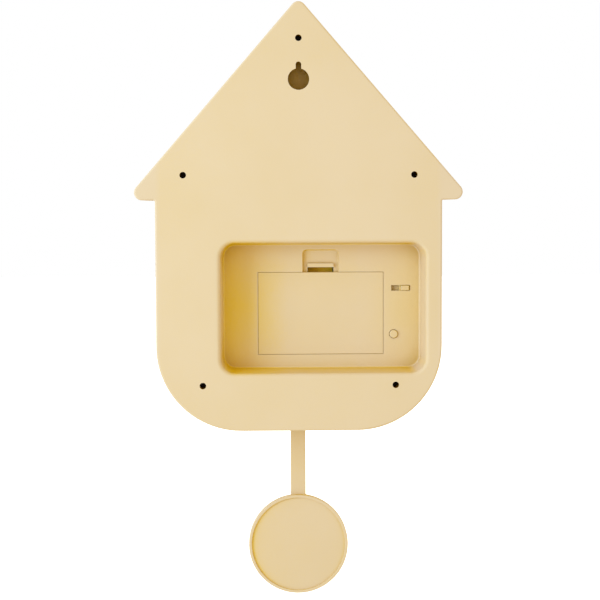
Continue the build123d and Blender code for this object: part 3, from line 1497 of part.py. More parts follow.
# Pendulum hanger: sleeve on the pin, plate in front of the rod, and the peg that the rod hangs on
with BuildPart() as pendulum_hanger:
    with BuildSketch(at_depth(pivot_depth - sleeve_length / 2)):
        with Locations((0, -pivot_drop)):
            Circle(sleeve_diameter / 2)
    extrude(amount=hanger_front - pivot_depth + sleeve_length / 2)
    with BuildSketch(at_depth(hanger_front - hanger_thickness)):
        with Locations((0, -pivot_drop - hanger_length / 2)):
            Rectangle(hanger_width, hanger_length)
        with Locations((0, -pivot_drop)):
            Circle(hanger_width / 2)
    extrude(amount=hanger_thickness)
    with BuildSketch(at_depth(hanger_front - hanger_thickness)):
        with Locations((0, -pivot_drop - peg_drop)):
            Circle(peg_diameter / 2)
    extrude(amount=-rod_thickness - 2 * peg_clearance - peg_head_thickness)
    with BuildSketch(at_depth(pivot_depth - rod_thickness / 2 - peg_clearance)):
        with Locations((0, -pivot_drop - peg_drop)):
            Circle(peg_head_diameter / 2)
    extrude(amount=-peg_head_thickness)
    with BuildSketch(at_depth(pivot_depth - sleeve_length / 2)):
        with Locations((0, -pivot_drop)):
            Circle(pivot_pin_diameter / 2 + pivot_clearance)
    extrude(amount=hanger_front - pivot_depth + sleeve_length / 2, mode=Mode.SUBTRACT)
finish("pendulum_hanger", pendulum_hanger)

with BuildPart() as drive_magnet:
    with BuildSketch(at_depth(hanger_front)):
        with Locations((0, -pivot_drop - magnet_drop)):
            Circle(magnet_diameter / 2)
    extrude(amount=magnet_thickness)
finish("drive_magnet", drive_magnet)

# Pendulum rod, a flat strip
with BuildPart() as pendulum_rod:
    with BuildSketch(at_depth(pivot_depth - rod_thickness / 2)):
        with Locations((0, (rod_top + rod_bottom) / 2)):
            Rectangle(rod_width, rod_top - rod_bottom)
    extrude(amount=rod_thickness)
    fillet(pendulum_rod.edges().filter_by(Axis.Z), rod_edge_radius)
    with BuildSketch(at_depth(pivot_depth - rod_thickness / 2)):
        with Locations((0, -pivot_drop - peg_drop)):
            Circle(peg_diameter / 2 + peg_clearance)
    extrude(amount=rod_thickness, mode=Mode.SUBTRACT)
finish("pendulum_rod", pendulum_rod)

# Pendulum bob: a round disc with a thin raised rim on its back and a socket for the rod
with BuildPart() as pendulum_bob:
    with BuildSketch(at_depth(bob_back)):
        with Locations((0, -bob_drop)):
            Circle(bob_diameter / 2)
    extrude(amount=bob_thickness + bob_rim_height)
    fillet(pendulum_bob.edges().group_by(Axis.Y)[0], bob_front_radius)
    with BuildSketch(at_depth(bob_back)):
        with Locations((0, -bob_drop)):
            Circle(bob_diameter / 2 - bob_rim_width)
    extrude(amount=bob_rim_height, mode=Mode.SUBTRACT)
    fillet(pendulum_bob.edges().group_by(Axis.Y)[-1], bob_back_radius)
    with BuildSketch(at_depth(pivot_depth - rod_thickness / 2)):
        with Locations((0, (rod_top + rod_bottom) / 2)):
            Rectangle(rod_width, rod_top - rod_bottom)
    extrude(amount=rod_thickness, mode=Mode.SUBTRACT)
finish("pendulum_bob", pendulum_bob)

os.makedirs("parts", exist_ok=True)
for name, part in parts.items():
    export_step(part, f"parts/{name}.step")
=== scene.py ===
# %% [markdown]
# # A house-shaped cuckoo clock, dressed in Blender
# The clock's solids were drawn in CAD: a moulded house with a dial and a pair of small doors on its
# front, and a keyhole, screw wells and a battery recess on its back. Here they come in as a fixed
# frame. The lesson gives each one a finish, adds the few shapes that are easier to sculpt than to
# draw, such as the bird, and then lights the clock as a studio would.

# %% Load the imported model
import math

import bmesh
import bpy
from mathutils import Matrix, Quaternion, Vector


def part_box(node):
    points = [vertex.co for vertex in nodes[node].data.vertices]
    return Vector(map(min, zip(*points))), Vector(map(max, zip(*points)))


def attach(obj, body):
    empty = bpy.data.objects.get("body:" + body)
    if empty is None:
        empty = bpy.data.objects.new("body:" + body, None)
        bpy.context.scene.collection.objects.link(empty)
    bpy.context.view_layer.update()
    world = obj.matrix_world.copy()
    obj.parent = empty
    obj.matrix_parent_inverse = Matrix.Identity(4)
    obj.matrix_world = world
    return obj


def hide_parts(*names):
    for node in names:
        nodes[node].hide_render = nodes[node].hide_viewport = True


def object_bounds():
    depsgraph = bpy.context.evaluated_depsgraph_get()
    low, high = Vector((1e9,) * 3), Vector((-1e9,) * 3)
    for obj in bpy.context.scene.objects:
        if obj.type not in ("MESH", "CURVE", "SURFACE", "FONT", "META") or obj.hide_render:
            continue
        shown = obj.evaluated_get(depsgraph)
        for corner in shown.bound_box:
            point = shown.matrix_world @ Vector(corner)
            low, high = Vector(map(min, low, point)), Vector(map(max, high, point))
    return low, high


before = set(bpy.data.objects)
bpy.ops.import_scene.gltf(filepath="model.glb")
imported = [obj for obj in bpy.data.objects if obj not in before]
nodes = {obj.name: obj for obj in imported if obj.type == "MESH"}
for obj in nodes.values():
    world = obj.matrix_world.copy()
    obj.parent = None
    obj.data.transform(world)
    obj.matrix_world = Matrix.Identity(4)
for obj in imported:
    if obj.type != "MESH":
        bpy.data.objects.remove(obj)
cad_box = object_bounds()
MM = 0.001


# %% [markdown]
# ## Shader maths that reads like maths
# A material is a graph, and a graph is hard to read as a list of links. A socket is wrapped in a
# small class here, so that `1 - mask` adds a Math node, and one method of the finish adds any other
# node: its settings first, then the values or wires of its sockets.

# %% Wires
class Wire:
    """One output socket of a finish. Sums of wires add Math nodes."""

    def __init__(self, finish, socket):
        self.finish = finish
        self.socket = socket

    def _math(self, operation, first, second=0.0):
        return self.finish.node("ShaderNodeMath", {"operation": operation}, {0: first, 1: second})

    def __add__(self, other):
        return self._math("ADD", self, other)

    __radd__ = __add__

    def __mul__(self, other):
        return self._math("MULTIPLY", self, other)

    __rmul__ = __mul__

    def __sub__(self, other):
        return self._math("SUBTRACT", self, other)

    def __rsub__(self, other):
        return self._math("SUBTRACT", other, self)

    def __gt__(self, other):
        return self._math("GREATER_THAN", self, other)

    def __lt__(self, other):
        return self._math("LESS_THAN", self, other)

    def __abs__(self):
        return self._math("ABSOLUTE", self)

    def sine(self):
        return self._math("SINE", self)

    def clamped(self, low, high):
        """0 at low, 1 at high, and a straight line between them."""
        limits = {0: self, 1: low, 2: high}
        return self.finish.node("ShaderNodeMapRange", {"clamp": True}, limits)


# %% Finishes
class Finish:
    """A material with one Principled shader: constants on its sockets, and wires for what varies."""

    def __init__(self, name, **constants):
        self.material = bpy.data.materials.new(name)
        self.material.use_nodes = True
        self.tree = self.material.node_tree
        self.tree.nodes.clear()
        self.shader = self.tree.nodes.new("ShaderNodeBsdfPrincipled")
        output = self.tree.nodes.new("ShaderNodeOutputMaterial")
        self.tree.links.new(self.shader.outputs[0], output.inputs["Surface"])
        self.wear(**constants)
        self.place = self.node("ShaderNodeTexCoord", out="Object")

    def feed(self, socket, value):
        if isinstance(value, Wire):
            self.tree.links.new(value.socket, socket)
        else:
            socket.default_value = value

    def node(self, kind, settings=None, sockets=None, out=0):
        """Adds a node: its settings are set first, and then its sockets."""
        made = self.tree.nodes.new(kind)
        for name, value in (settings or {}).items():
            setattr(made, name, value)
        for key, value in (sockets or {}).items():
            self.feed(made.inputs[key], value)
        return Wire(self, made.outputs[out])

    def wear(self, **sockets):
        """Feeds the shader: Base_Color stands for the socket Base Color, and so on."""
        for name, value in sockets.items():
            self.feed(self.shader.inputs[name.replace("_", " ")], value)

    def noise(self, scale, detail=2.0, roughness=0.5, vector=None):
        sockets = {"Scale": scale, "Detail": detail, "Roughness": roughness}
        sockets["Vector"] = vector or self.place
        return self.node("ShaderNodeTexNoise", {}, sockets, "Fac")

    def stretched(self, scale):
        """Object coordinates, stretched along one axis or another for a directional grain."""
        return self.node("ShaderNodeMapping", {}, {"Vector": self.place, "Scale": scale}, "Vector")

    def axis(self, name):
        return self.node("ShaderNodeSeparateXYZ", {}, {"Vector": self.place}, name)

    def facing(self, name):
        """How far a face looks along one axis, from -1 to 1."""
        plain = self.node("ShaderNodeNewGeometry", out="Normal")
        return self.node("ShaderNodeSeparateXYZ", {}, {"Vector": plain}, name)

    def mix(self, factor, first, second):
        """Mixes two colours."""
        sockets = {0: factor, 6: first, 7: second}
        return self.node("ShaderNodeMix", {"data_type": "RGBA"}, sockets, 2)

    def bump(self, height, distance, strength=1.0):
        sockets = {"Height": height, "Distance": distance, "Strength": strength}
        return self.node("ShaderNodeBump", {}, sockets, "Normal")

    def vector(self, operation, first, second=(0, 0, 0), out="Vector"):
        sockets = {0: first, 1: second}
        return self.node("ShaderNodeVectorMath", {"operation": operation}, sockets, out)

    def hollows(self, reach, lean=(0, 0, 0)):
        """Close to 1 far into a corner or a well, and small where a face is open towards the lean."""
        plain = self.node("ShaderNodeNewGeometry", out="Normal")
        rest = 1 - self.vector("DOT_PRODUCT", plain, lean, "Value")
        along = self.node("ShaderNodeVectorMath", {"operation": "SCALE"}, {0: plain, "Scale": rest})
        leaning = self.vector("NORMALIZE", self.vector("ADD", along, lean))
        settings = {"samples": 6, "only_local": False}
        sockets = {"Distance": reach, "Normal": leaning}
        return 1 - self.node("ShaderNodeAmbientOcclusion", settings, sockets, "AO")

    def edges(self, radius):
        """Close to 1 on an edge that a finger or a cloth rubs, and 0 on flat faces."""
        rounded = self.node("ShaderNodeBevel", {"samples": 4}, {"Radius": radius}, "Normal")
        plain = self.node("ShaderNodeNewGeometry", out="Normal")
        return (1 - self.vector("DOT_PRODUCT", rounded, plain, "Value")).clamped(0.02, 0.25)


# %% Tones and dressing
def tone(red, green, blue):
    """A colour from eight-bit screen values, as Blender's linear light."""
    linear = []
    for value in (red, green, blue):
        share = value / 255
        linear.append(share / 12.92 if share <= 0.04045 else ((share + 0.055) / 1.055) ** 2.4)
    return (*linear, 1.0)


def dress(finish, *names):
    """Puts a finish on CAD solids."""
    for name in names:
        nodes[name].data.materials.clear()
        nodes[name].data.materials.append(finish.material)
    print(finish.material.name, "on", ", ".join(names))


# %% [markdown]
# ## The pale yellow case
# Everything that shows on the back is one moulding material: a matte, pale yellow plastic whose
# mould was spark-eroded, so the skin has a grain of a few tenths of a millimetre. A flat colour would
# look like paper. The grain goes into a bump, the skin's gloss wanders a little, slow clouds shift
# the colour by a hair, and the edges are rubbed slightly paler and smoother.
#
# In its wells and corners the plastic glows a deeper yellow, because light bounces from wall to wall
# there, sinks into the skin a little, and takes on more of its colour each time. A few bounces in the
# renderer give only part of that, so the finish paints shade into the colour. Ambient occlusion finds
# the faces that are shut in. It is asked twice, with the normal leaning to the lamp's side and away
# from it, and where the two differ lies the lee of a wall: there, and on walls turned from the lamp,
# the colour goes a deeper yellow as a painted shadow. A third, short-sighted one finds small nooks
# such as the keyhole and the slots, which are painted darker as shade. The front of the case and the
# undersides of its eaves get little of this painted shade. The thin mouldings, such as the latch, let
# more light through, so their nooks get only the deeper yellow of painted shade, not the dark.

# %% Painted shade in the hollows of the case
CASE_YELLOW = tone(227, 205, 177)
CASE_PALE = tone(234, 215, 191)
CASE_CLOUD = tone(225, 202, 170)
# Painted shade: a deeper yellow for the lee of walls, and a dark ochre for nooks.
CASE_SHADE_YELLOW = tone(234, 196, 22)
CASE_NOOK_SHADE = tone(178, 136, 14)
# The painted shade leans to the lamp's side, away from the far side.
LAMP_SIDE = (0.9, 0.3, 0.0)
FAR_SIDE = (-0.9, 0.3, 0.0)
WALL_REACH = 45 * MM
NOOK_REACH = 24 * MM
# The painted shade is full on the rear of the case within the eaves, and a fifth as strong elsewhere.
FRONT_TO_REAR = (-70 * MM, -55 * MM)
EAVES_TO_MIDDLE = (96 * MM, 92 * MM)
FRONT_SHARE = 0.2


def painted_hollow_shade(finish, skin, shade_tone, nook_shade_tone):
    """The skin with painted shade: deeper yellow in the lee of a wall and on walls away from the lamp,
    and darker in nooks.
    """
    lamp_side = finish.hollows(WALL_REACH, LAMP_SIDE)
    far_side = finish.hollows(WALL_REACH, FAR_SIDE)
    uneven = lamp_side - far_side
    across = finish.facing("X")
    unlit = across.clamped(0.6, 0.1)
    # Painted shadow in the lee of a wall from the lamp, and a weaker one by walls on the far side.
    lee = uneven.clamped(0.08, 0.46) + 0.35 * uneven.clamped(-0.05, -0.45) * unlit
    # Painted shade on walls turned away from the lamp and shut in.
    turned = abs(finish.facing("Z")) * 0.8 - across
    walls = turned.clamped(0.2, 0.9) * lamp_side.clamped(0.15, 0.5)
    behind = finish.axis("Y").clamped(*FRONT_TO_REAR)
    rear = behind * abs(finish.axis("X")).clamped(*EAVES_TO_MIDDLE)
    nook = finish.hollows(NOOK_REACH)
    # Painted shade in nooks that face away from the lamp.
    shut_in_shade = 0.5 * nook.clamped(0.48, 0.85) * unlit
    painted_shade = (lee + walls) * (FRONT_SHARE + (1 - FRONT_SHARE) * rear) + shut_in_shade
    # The skin turns the deeper yellow by the painted shade, then dark in nooks.
    shaded_skin = finish.mix(painted_shade.clamped(0.0, 1.0), skin, shade_tone)
    return finish.mix(nook.clamped(0.56, 0.76), shaded_skin, nook_shade_tone)


print("hollows are felt within", WALL_REACH / MM, "and", NOOK_REACH / MM, "mm")

# %% Case plastic
CLOUDS_PER_METRE = 14
GRAINS_PER_METRE = 2600
RUBBED_RADIUS = 0.7 * MM
GRAIN_DEPTH = 0.05 * MM


def moulded(name, pale, colour, cloudy, gloss=0.5, shine=0.5, shade_tone=None, nook_shade_tone=None):
    """A spark-textured moulded plastic in near tones, with painted shade tones for hollows and caves.
    """
    finish = Finish(name, Specular_IOR_Level=shine)
    cloud = finish.noise(CLOUDS_PER_METRE, 3).clamped(0.35, 0.65)
    grain = finish.noise(GRAINS_PER_METRE, 2, 0.6)
    rubbed = finish.edges(RUBBED_RADIUS)
    skin = finish.mix(cloud, cloudy, colour)
    # Painted shade in the hollows, when shade tones are given.
    if shade_tone:
        skin = painted_hollow_shade(finish, skin, shade_tone, nook_shade_tone)
    finish.wear(
        Base_Color=finish.mix(rubbed * 0.6, skin, pale),
        Roughness=gloss + 0.08 * (grain - 0.5) + 0.06 * (cloud - 0.5) - 0.1 * rubbed,
        Normal=finish.bump(grain, GRAIN_DEPTH, 0.22),
    )
    return finish


CASE_TONES = (CASE_PALE, CASE_YELLOW, CASE_CLOUD)
SHINE = 0.12
case_plastic = moulded("case_plastic", *CASE_TONES, shine=SHINE, shade_tone=CASE_SHADE_YELLOW, nook_shade_tone=CASE_NOOK_SHADE)
dress(
    case_plastic,
    "front_housing", "rear_cover", "slide_switch_body", "battery_box",
    "pendulum_rod", "pendulum_bob", "left_door", "right_door",
)
# Painted shade on the thin mouldings too, but their nooks get only the deeper yellow, not the dark.
thin_plastic = moulded("thin_plastic", *CASE_TONES, shine=SHINE, shade_tone=CASE_SHADE_YELLOW, nook_shade_tone=CASE_SHADE_YELLOW)
dress(thin_plastic, "battery_door", "door_latch", "slide_switch_knob", "push_button")

# %% [markdown]
# ## The mouldings inside
# The cuckoo's frame and carriage and the pendulum's mount are plain black plastic, which shows when
# the little doors are open. The same recipe serves, in charcoal, and in milky white for the gears.

# %% Inner plastics
inner_plastic = moulded("inner_plastic", tone(74, 74, 76), tone(43, 43, 45), tone(36, 36, 38), 0.46)
dress(inner_plastic, "cuckoo_frame", "pendulum_mount", "pendulum_hanger", "bird_carriage")
black_part = moulded("black_part", tone(58, 58, 61), tone(29, 29, 31), tone(24, 24, 26), 0.4)
dress(black_part, "tact_switch_body", "sound_chip", "movement_front_case", "movement_rear_case")
GEAR_TONES = (tone(244, 242, 232), tone(232, 229, 214), tone(224, 220, 203))
gear_plastic = moulded("gear_plastic", *GEAR_TONES, 0.32)
dress(gear_plastic, "hour_wheel", "motion_wheel", "drive_gear", "motor_pinion")

# %% [markdown]
# ## Metals
# Pins and inner screws are plated steel, the case's own screws are blackened, contacts are nickel, the
# movement's bushing is turned brass and the speaker's frame is dark plate. A metal needs little colour
# of its own: what makes it read is how fine scratches stretch its gloss along the way it was drawn or
# turned, so the grain is stretched along one axis.

# %% Metals
def metal(name, bright, dull, gloss, stretch):
    """A bare metal, blotched between two tones, with scratches along its stretch."""
    finish = Finish(name, Metallic=1.0)
    scratch = finish.noise(900, 3, 0.6, finish.stretched(stretch))
    blotch = finish.noise(160, 2).clamped(0.3, 0.7)
    finish.wear(
        Base_Color=finish.mix(blotch, dull, bright),
        Roughness=gloss + 0.16 * (scratch - 0.5) + 0.08 * blotch,
        Normal=finish.bump(scratch, 0.01 * MM, 0.3),
    )
    return finish


screw_steel = metal("screw_steel", tone(178, 178, 182), tone(142, 141, 143), 0.34, (1, 0.2, 1))
dress(
    screw_steel,
    "board_screws", "frame_screws", "mount_screws", "pivot_pin", "pivot_clip",
    "left_door_pin", "right_door_pin",
)
blackened = metal("blackened_screw", tone(66, 54, 44), tone(40, 32, 26), 0.5, (1, 0.2, 1))
dress(blackened, "case_screws")
contact_metal = metal("contact_metal", tone(208, 204, 196), tone(176, 172, 163), 0.26, (1, 1, 0.1))
dress(contact_metal, "positive_contacts", "negative_leaves")
brass = metal("turned_brass", tone(214, 176, 102), tone(184, 146, 76), 0.28, (1, 0.1, 1))
dress(brass, "movement_bushing", "movement_nut", "minute_arbor")
motor_can = metal("motor_can", tone(186, 187, 190), tone(158, 159, 162), 0.3, (0.08, 1, 1))
dress(motor_can, "cuckoo_motor")
dark_metal = metal("dark_plate", tone(86, 86, 90), tone(58, 58, 61), 0.4, (1, 1, 1))
dress(dark_metal, "speaker_basket", "speaker_magnet", "drive_magnet")


# %% [markdown]
# ## Wound coils
# A coil of enamelled wire is a stack of fine bright rings. They are a quarter of a millimetre apart,
# far too many to model, so a sine of the place along the coil's axis makes them: painted shade dark
# in the grooves, bright copper on the crowns, and bumped the same way.

# %% Copper windings
WIRE_PITCH = 0.25 * MM


def winding(name, axis):
    """Copper rings along an axis, with painted shade in the grooves."""
    finish = Finish(name, Metallic=0.85)
    crown_and_groove_shade = (finish.axis(axis) * (2 * math.pi / WIRE_PITCH)).sine() * 0.5 + 0.5
    finish.wear(
        # Painted shade: the base colour goes dark brown in the grooves between the rings.
        Base_Color=finish.mix(crown_and_groove_shade, tone(104, 48, 22), tone(205, 122, 70)),
        Roughness=0.42 - 0.12 * crown_and_groove_shade,
        Normal=finish.bump(crown_and_groove_shade, 0.06 * MM, 0.6),
    )
    return finish


dress(winding("stepper_winding", "X"), "stepper_coil")
dress(winding("drive_winding", "Y"), "drive_coil")

# %% [markdown]
# ## Cells, board, cone and washer
# A cell has a plain printed jacket and bare steel ends, so its height along Z chooses between the
# two. The board is green solder mask over a weave, the cone is pressed paper and the washer is rubber.

# %% Cells
JACKET_HALF = 22.2 * MM
BAND_HEIGHT = 13 * MM
BAND_HALF = 3.2 * MM
cell_low, cell_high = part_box("battery_cell_1")
CELL_MIDDLE = (cell_low.z + cell_high.z) / 2
cell_wrap = Finish("cell_wrap", Coat_Weight=0.3)
end_of_cell = abs(cell_wrap.axis("Z") - CELL_MIDDLE) > JACKET_HALF
band = abs(cell_wrap.axis("Z") - CELL_MIDDLE - BAND_HEIGHT) < BAND_HALF
speck = cell_wrap.noise(700, 2)
jacket = cell_wrap.mix(band, tone(62, 68, 76), tone(186, 190, 194))
cell_wrap.wear(
    Base_Color=cell_wrap.mix(end_of_cell, jacket, tone(188, 186, 180)),
    Metallic=end_of_cell,
    Roughness=0.3 + 0.12 * (speck - 0.5),
    Normal=cell_wrap.bump(speck, 0.02 * MM, 0.2),
)
dress(cell_wrap, "battery_cell_1", "battery_cell_2", "battery_cell_3")

# %% Board
WEAVE_PITCH = 0.9 * MM
board_green = Finish("board_green", Coat_Weight=0.4)
warp = board_green.axis("X") * (2 * math.pi / WEAVE_PITCH)
weft = board_green.axis("Z") * (2 * math.pi / WEAVE_PITCH)
cloth = warp.sine() * weft.sine() * 0.5 + 0.5
trace = abs(board_green.noise(190, 0) - 0.5) < 0.02
solder_mask = board_green.mix(cloth * 0.35, tone(22, 78, 46), tone(34, 96, 58))
board_green.wear(
    Base_Color=board_green.mix(trace, solder_mask, tone(58, 128, 78)),
    Roughness=0.36 + 0.1 * cloth,
    Normal=board_green.bump(trace + 0.2 * cloth, 0.04 * MM, 0.4),
)
dress(board_green, "circuit_board")

# %% Cone and washer
speaker_paper = Finish("speaker_paper", Roughness=0.9)
fibre = speaker_paper.noise(1500, 4, 0.7)
speaker_paper.wear(
    Base_Color=speaker_paper.mix(fibre, tone(22, 22, 22), tone(54, 53, 51)),
    Normal=speaker_paper.bump(fibre, 0.08 * MM, 0.6),
)
dress(speaker_paper, "speaker_cone")

washer_rubber = Finish("washer_rubber")
bloom = washer_rubber.noise(420, 3)
washer_rubber.wear(
    Base_Color=washer_rubber.mix(bloom, tone(20, 20, 20), tone(38, 38, 38)),
    Roughness=0.72 + 0.1 * bloom,
)
dress(washer_rubber, "movement_washer")

# %% [markdown]
# ## The dial and hands
# The dial is a matt off-white sheet with a faint tooth, like coated card on plastic. Its hour bars,
# hands and cap are satin dark brown. Between the bars runs a minute track of fine printed strokes:
# each is a bevelled sliver, and the whole ring is one mesh that is turned round step by step.

# %% Dial finishes
dial_face = Finish("dial_face", Specular_IOR_Level=0.3)
tooth = dial_face.noise(1800, 3, 0.6)
dial_cloud = dial_face.noise(20, 3).clamped(0.3, 0.7)
dial_face.wear(
    Base_Color=dial_face.mix(dial_cloud, tone(238, 233, 220), tone(243, 239, 228)),
    Roughness=0.62 + 0.12 * (tooth - 0.5),
    Normal=dial_face.bump(tooth, 0.03 * MM, 0.25),
)
dress(dial_face, "dial_plate")
dial_mark = moulded("dial_mark", tone(126, 96, 66), tone(84, 60, 38), tone(76, 53, 33), 0.36)
dress(dial_mark, "hour_markers", "hour_hand", "minute_hand", "hand_cap")

# %% Keeping a mesh
def keep_mesh(name, mesh_builder, finish, body, smooth=False):
    """Turns a bmesh into a finished piece that rides on a body."""
    mesh = bpy.data.meshes.new(name)
    mesh_builder.to_mesh(mesh)
    mesh_builder.free()
    mesh.materials.append(finish.material)
    for face in mesh.polygons:
        face.use_smooth = smooth
    piece = bpy.data.objects.new(name, mesh)
    bpy.context.scene.collection.objects.link(piece)
    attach(piece, body)
    return piece


# %% Minute track
dial_low, dial_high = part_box("dial_plate")
DIAL_CENTRE = Vector((0, dial_low.y, (dial_low.z + dial_high.z) / 2))
TRACK_RADIUS = 56.6 * MM
STROKE = Vector((0.5, 0.16, 2.6)) * MM
STROKE_BEVEL = 0.06 * MM
MINUTES = [minute for minute in range(60) if minute % 5]
track = bmesh.new()
for minute in MINUTES:
    stroke = bmesh.ops.create_cube(track, size=1.0)["verts"]
    bmesh.ops.scale(track, vec=STROKE, verts=stroke)
    bmesh.ops.translate(track, vec=(0, -STROKE.y / 2, TRACK_RADIUS), verts=stroke)
    turn = Matrix.Rotation(math.radians(360 / 60 * minute), 3, "Y")
    bmesh.ops.rotate(track, cent=(0, 0, 0), matrix=turn, verts=stroke)
bmesh.ops.bevel(
    track, geom=track.edges[:], offset=STROKE_BEVEL, affect="EDGES",
    segments=1, profile=0.5, material=-1,
)
bmesh.ops.translate(track, vec=DIAL_CENTRE, verts=track.verts)
keep_mesh("minute_track", track, dial_mark, "case")
print("minute track of", len(MINUTES), "strokes")

# %% [markdown]
# ## The bird
# The cuckoo is a small plump bird, cast in off-white plastic with a beak in the case's yellow and
# black bead eyes. Such a shape is sculpted rather than drawn: balls for the breast, head, wings and
# tail are pushed together, a voxel remesh makes them one skin, and smoothing melts the joins. It is
# then cut flat where it stands on its carriage. Feathers are too fine to model, so overlapping scales
# in a bump suggest them.

# %% Bird finish
bird_plastic = Finish("bird_plastic", Specular_IOR_Level=0.45)
plumage = bird_plastic.node(
    "ShaderNodeTexVoronoi", {"feature": "SMOOTH_F1"},
    {"Vector": bird_plastic.stretched((1, 0.62, 1)), "Scale": 620, "Smoothness": 0.35}, "Distance",
)
powder = bird_plastic.noise(2400, 2, 0.6)
shade = bird_plastic.noise(90, 2).clamped(0.3, 0.7)
feathers = bird_plastic.mix(shade, tone(240, 234, 218), tone(249, 246, 236))
bird_plastic.wear(
    # Painted shade: the colour is slightly darker towards the edges of the scales, where they overlap.
    Base_Color=bird_plastic.mix(plumage.clamped(0.35, 0.85), feathers, tone(233, 225, 206)),
    Roughness=0.46 + 0.1 * (powder - 0.5),
    Normal=bird_plastic.bump(0.12 * powder - plumage, 0.12 * MM, 0.2),
)
print("bird finish ready")

# %% Sculpting
def ball(sculpture, place, radii, tilt=0.0, yaw=0.0):
    """Adds an egg: its radii, then its nose lifted and turned, then its place, in mm and degrees."""
    egg = bmesh.ops.create_uvsphere(sculpture, u_segments=32, v_segments=20, radius=MM)["verts"]
    bmesh.ops.scale(sculpture, vec=radii, verts=egg)
    lift = Matrix.Rotation(math.radians(yaw), 3, "Z") @ Matrix.Rotation(math.radians(tilt), 3, "X")
    bmesh.ops.rotate(sculpture, cent=(0, 0, 0), matrix=lift, verts=egg)
    bmesh.ops.translate(sculpture, vec=Vector(place) * MM, verts=egg)


def sculpted(name, shape, voxel, rounds):
    """One smooth skin round everything in the sculpture, as a new bmesh."""
    rough = bpy.data.meshes.new(name + "_rough")
    shape.to_mesh(rough)
    shape.free()
    clay = bpy.data.objects.new(name + "_clay", rough)
    bpy.context.scene.collection.objects.link(clay)
    skin = clay.modifiers.new("skin", "REMESH")
    skin.mode = "VOXEL"
    skin.voxel_size = voxel
    melt = clay.modifiers.new("melt", "SMOOTH")
    melt.factor = 0.5
    melt.iterations = rounds
    bpy.context.view_layer.update()
    settled = clay.evaluated_get(bpy.context.evaluated_depsgraph_get())
    kept = bpy.data.meshes.new_from_object(settled)
    bpy.data.objects.remove(clay)
    bpy.data.meshes.remove(rough)
    shape = bmesh.new()
    shape.from_mesh(kept)
    bpy.data.meshes.remove(kept)
    return shape


# %% Bird body
FOOT_HEIGHT = -63.0 * MM
VOXEL = 0.35 * MM
SMOOTHINGS = 5
# Belly, breast, head, tail and rump: each one's place, radii and tilt.
TRUNK = (
    ((0, -52.6, -55.2), (8.5, 12.4, 8.4), -12),
    ((0, -57.5, -52.2), (7.4, 7.6, 8.0), 0),
    ((0, -62.6, -46.9), (6.1, 6.5, 6.2), 0),
    ((0, -38.6, -50.7), (4.2, 6.0, 1.9), -20),
    ((0, -43.0, -52.6), (5.6, 7.0, 3.6), -18),
)
bird = bmesh.new()
for place, radii, tilt in TRUNK:
    ball(bird, place, radii, tilt)
# A wing and its folded tip on each side.
for side in (-1, 1):
    ball(bird, (side * 7.5, -51.0, -53.6), (1.7, 9.6, 5.2), -14, side * 5)
    ball(bird, (side * 5.6, -43.4, -51.6), (1.3, 6.4, 2.6), -18, side * -9)
bird = sculpted("cuckoo", bird, VOXEL, SMOOTHINGS)
bmesh.ops.bisect_plane(
    bird, geom=bird.verts[:] + bird.edges[:] + bird.faces[:], dist=1e-7,
    plane_co=(0, 0, FOOT_HEIGHT), plane_no=(0, 0, -1), clear_outer=True,
)
rim = [edge for edge in bird.edges if edge.is_boundary]
bmesh.ops.holes_fill(bird, edges=rim, sides=0)
bmesh.ops.recalc_face_normals(bird, faces=bird.faces)
bird_piece = keep_mesh("sculpted_bird", bird, bird_plastic, "bird", smooth=True)
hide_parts("cuckoo_bird")
print("bird of", len(bird_piece.data.polygons), "faces")

# %% Beak and eyes
BEAK_ROOT = -67.2
BEAK_TIP_RADIUS = 0.08 * MM
SHARP = 0.6
# Upper and lower half: length, width, height and drop in mm, and the angle that lays it forward.
BEAK_HALVES = ((6.6, 2.3, 1.5, -46.6, 90), (5.4, 1.9, 1.1, -48.2, 86))
beak = bmesh.new()
for length, width, height, drop, pitch in BEAK_HALVES:
    half = bmesh.ops.create_cone(
        beak, cap_ends=True, segments=24, radius1=MM, radius2=BEAK_TIP_RADIUS, depth=length * MM
    )["verts"]
    bmesh.ops.scale(beak, vec=(width, height, 1.0), verts=half)
    point = Matrix.Rotation(math.radians(pitch), 3, "X")
    bmesh.ops.rotate(beak, cent=(0, 0, 0), matrix=point, verts=half)
    bmesh.ops.translate(beak, vec=Vector((0, BEAK_ROOT - length / 2, drop)) * MM, verts=half)
beak_edges = [edge for edge in beak.edges if edge.calc_face_angle(0) > SHARP]
bmesh.ops.bevel(
    beak, geom=beak_edges, offset=0.2 * MM, affect="EDGES", segments=2, profile=0.5, material=-1
)
keep_mesh("bird_beak", beak, case_plastic, "bird", smooth=True)
eyes = bmesh.new()
for side in (-1, 1):
    ball(eyes, (side * 5.15, -64.7, -45.4), (0.9, 1.25, 1.25), 0, side * 20)
keep_mesh("bird_eyes", eyes, black_part, "bird", smooth=True)
print("beak and two eyes")

# %% [markdown]
# ## Studio, floor and camera
# The clock floats on white, lit from the left by one near, soft and cool lamp: the recess's left
# wall throws a soft shadow over a quarter of its floor, and the light fades towards the bob. A warm,
# pale world fills the rest, so what the lamp doesn't reach turns yellow rather than grey. Two more
# lamps stand on the dial's side. The floor is a plain white sheet below the pendulum that only the
# camera sees, so it doesn't light the clock from below.

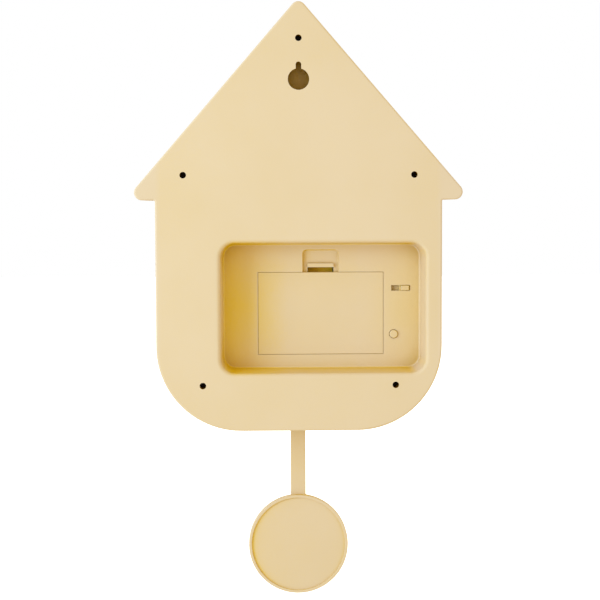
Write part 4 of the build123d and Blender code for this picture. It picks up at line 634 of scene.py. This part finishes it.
# %% World
WARM_FILL = (1.0, 0.95, 0.81, 1.0)
WHITE = (1.0, 1.0, 1.0, 1.0)
scene = bpy.context.scene
scene.view_settings.view_transform = "Standard"
scene.view_settings.look = "None"
world = bpy.data.worlds.new("studio")
scene.world = world
world.use_nodes = True
sky = world.node_tree
sky.nodes.clear()
fill = sky.nodes.new("ShaderNodeBackground")
fill.inputs["Color"].default_value = WARM_FILL
fill.inputs["Strength"].default_value = 0.9
seen = sky.nodes.new("ShaderNodeBackground")
seen.inputs["Color"].default_value = WHITE
seen.inputs["Strength"].default_value = 1.0
ray = sky.nodes.new("ShaderNodeLightPath")
either = sky.nodes.new("ShaderNodeMixShader")
sky_out = sky.nodes.new("ShaderNodeOutputWorld")
sky.links.new(ray.outputs["Is Camera Ray"], either.inputs[0])
sky.links.new(fill.outputs[0], either.inputs[1])
sky.links.new(seen.outputs[0], either.inputs[2])
sky.links.new(either.outputs[0], sky_out.inputs["Surface"])
print("a warm world that the camera sees as white")

# %% Lamps
CASE_CENTRE = (0, -0.03, -0.16)
GABLE = (0.02, 0.0, -0.07)
DAYLIGHT = (0.54, 0.78, 1.0)


def softbox(name, place, size, power, aim=CASE_CENTRE, spread=180):
    """A rectangular daylight lamp that looks at its aim, and how wide it throws in degrees."""
    lamp = bpy.data.lights.new(name, "AREA")
    lamp.shape = "RECTANGLE"
    lamp.size, lamp.size_y = size
    lamp.energy = power
    lamp.color = DAYLIGHT
    lamp.spread = math.radians(spread)
    holder = bpy.data.objects.new(name, lamp)
    holder.location = place
    holder.rotation_euler = (Vector(aim) - Vector(place)).to_track_quat("-Z", "Y").to_euler()
    scene.collection.objects.link(holder)


softbox("key_side", (0.80, 0.55, -0.03), (0.5, 0.6), 1.15, GABLE, 70)
softbox("front_left", (-1.3, -1.6, 0.5), (0.9, 1.2), 12)
softbox("front_right", (1.5, -1.4, 0.3), (0.9, 1.2), 5)

# %% Floor
FLOOR_HEIGHT = cad_box[0].z - 0.05
FLOOR_REACH = 6.0
floor_mesh = bmesh.new()
bmesh.ops.create_grid(floor_mesh, x_segments=1, y_segments=1, size=FLOOR_REACH)
bmesh.ops.translate(floor_mesh, vec=(0, 0, FLOOR_HEIGHT), verts=floor_mesh.verts)
floor_data = bpy.data.meshes.new("floor")
floor_mesh.to_mesh(floor_data)
floor_mesh.free()
floor = bpy.data.objects.new("floor", floor_data)
scene.collection.objects.link(floor)
floor_paint = Finish("floor_white", Roughness=0.9)
floor_paint.wear(Base_Color=(0.9, 0.9, 0.9, 1.0), Emission_Color=WHITE, Emission_Strength=1.0)
floor_data.materials.append(floor_paint.material)
floor.visible_diffuse = False
floor.visible_glossy = False
print("floor at", round(FLOOR_HEIGHT, 3), "m")

# %% Camera
CAMERA_PLACE = Vector((29.3, 1052.5, -93.0)) * MM
CAMERA_AIM = Vector((-0.5, 0.0, -156.6)) * MM
CAMERA_ROLL = math.radians(-0.195)
HALF_PICTURE = 300
FOCAL_PIXELS = 1576.5
camera_data = bpy.data.cameras.new("camera")
camera_data.sensor_fit = "HORIZONTAL"
camera_data.angle = 2 * math.atan(HALF_PICTURE / FOCAL_PIXELS)
camera = bpy.data.objects.new("camera", camera_data)
camera.location = CAMERA_PLACE
aimed = (CAMERA_AIM - CAMERA_PLACE).to_track_quat("-Z", "Y")
camera.rotation_euler = (aimed @ Quaternion((0, 0, 1), CAMERA_ROLL)).to_euler()
scene.collection.objects.link(camera)
scene.camera = camera
print("camera", round(math.degrees(camera_data.angle), 1), "degrees wide")

# %% [markdown]
# ## A last update
# The view layer is brought up to date once more. The dressed clock must stay inside the CAD
# box.

# %% Update
bpy.context.view_layer.update()
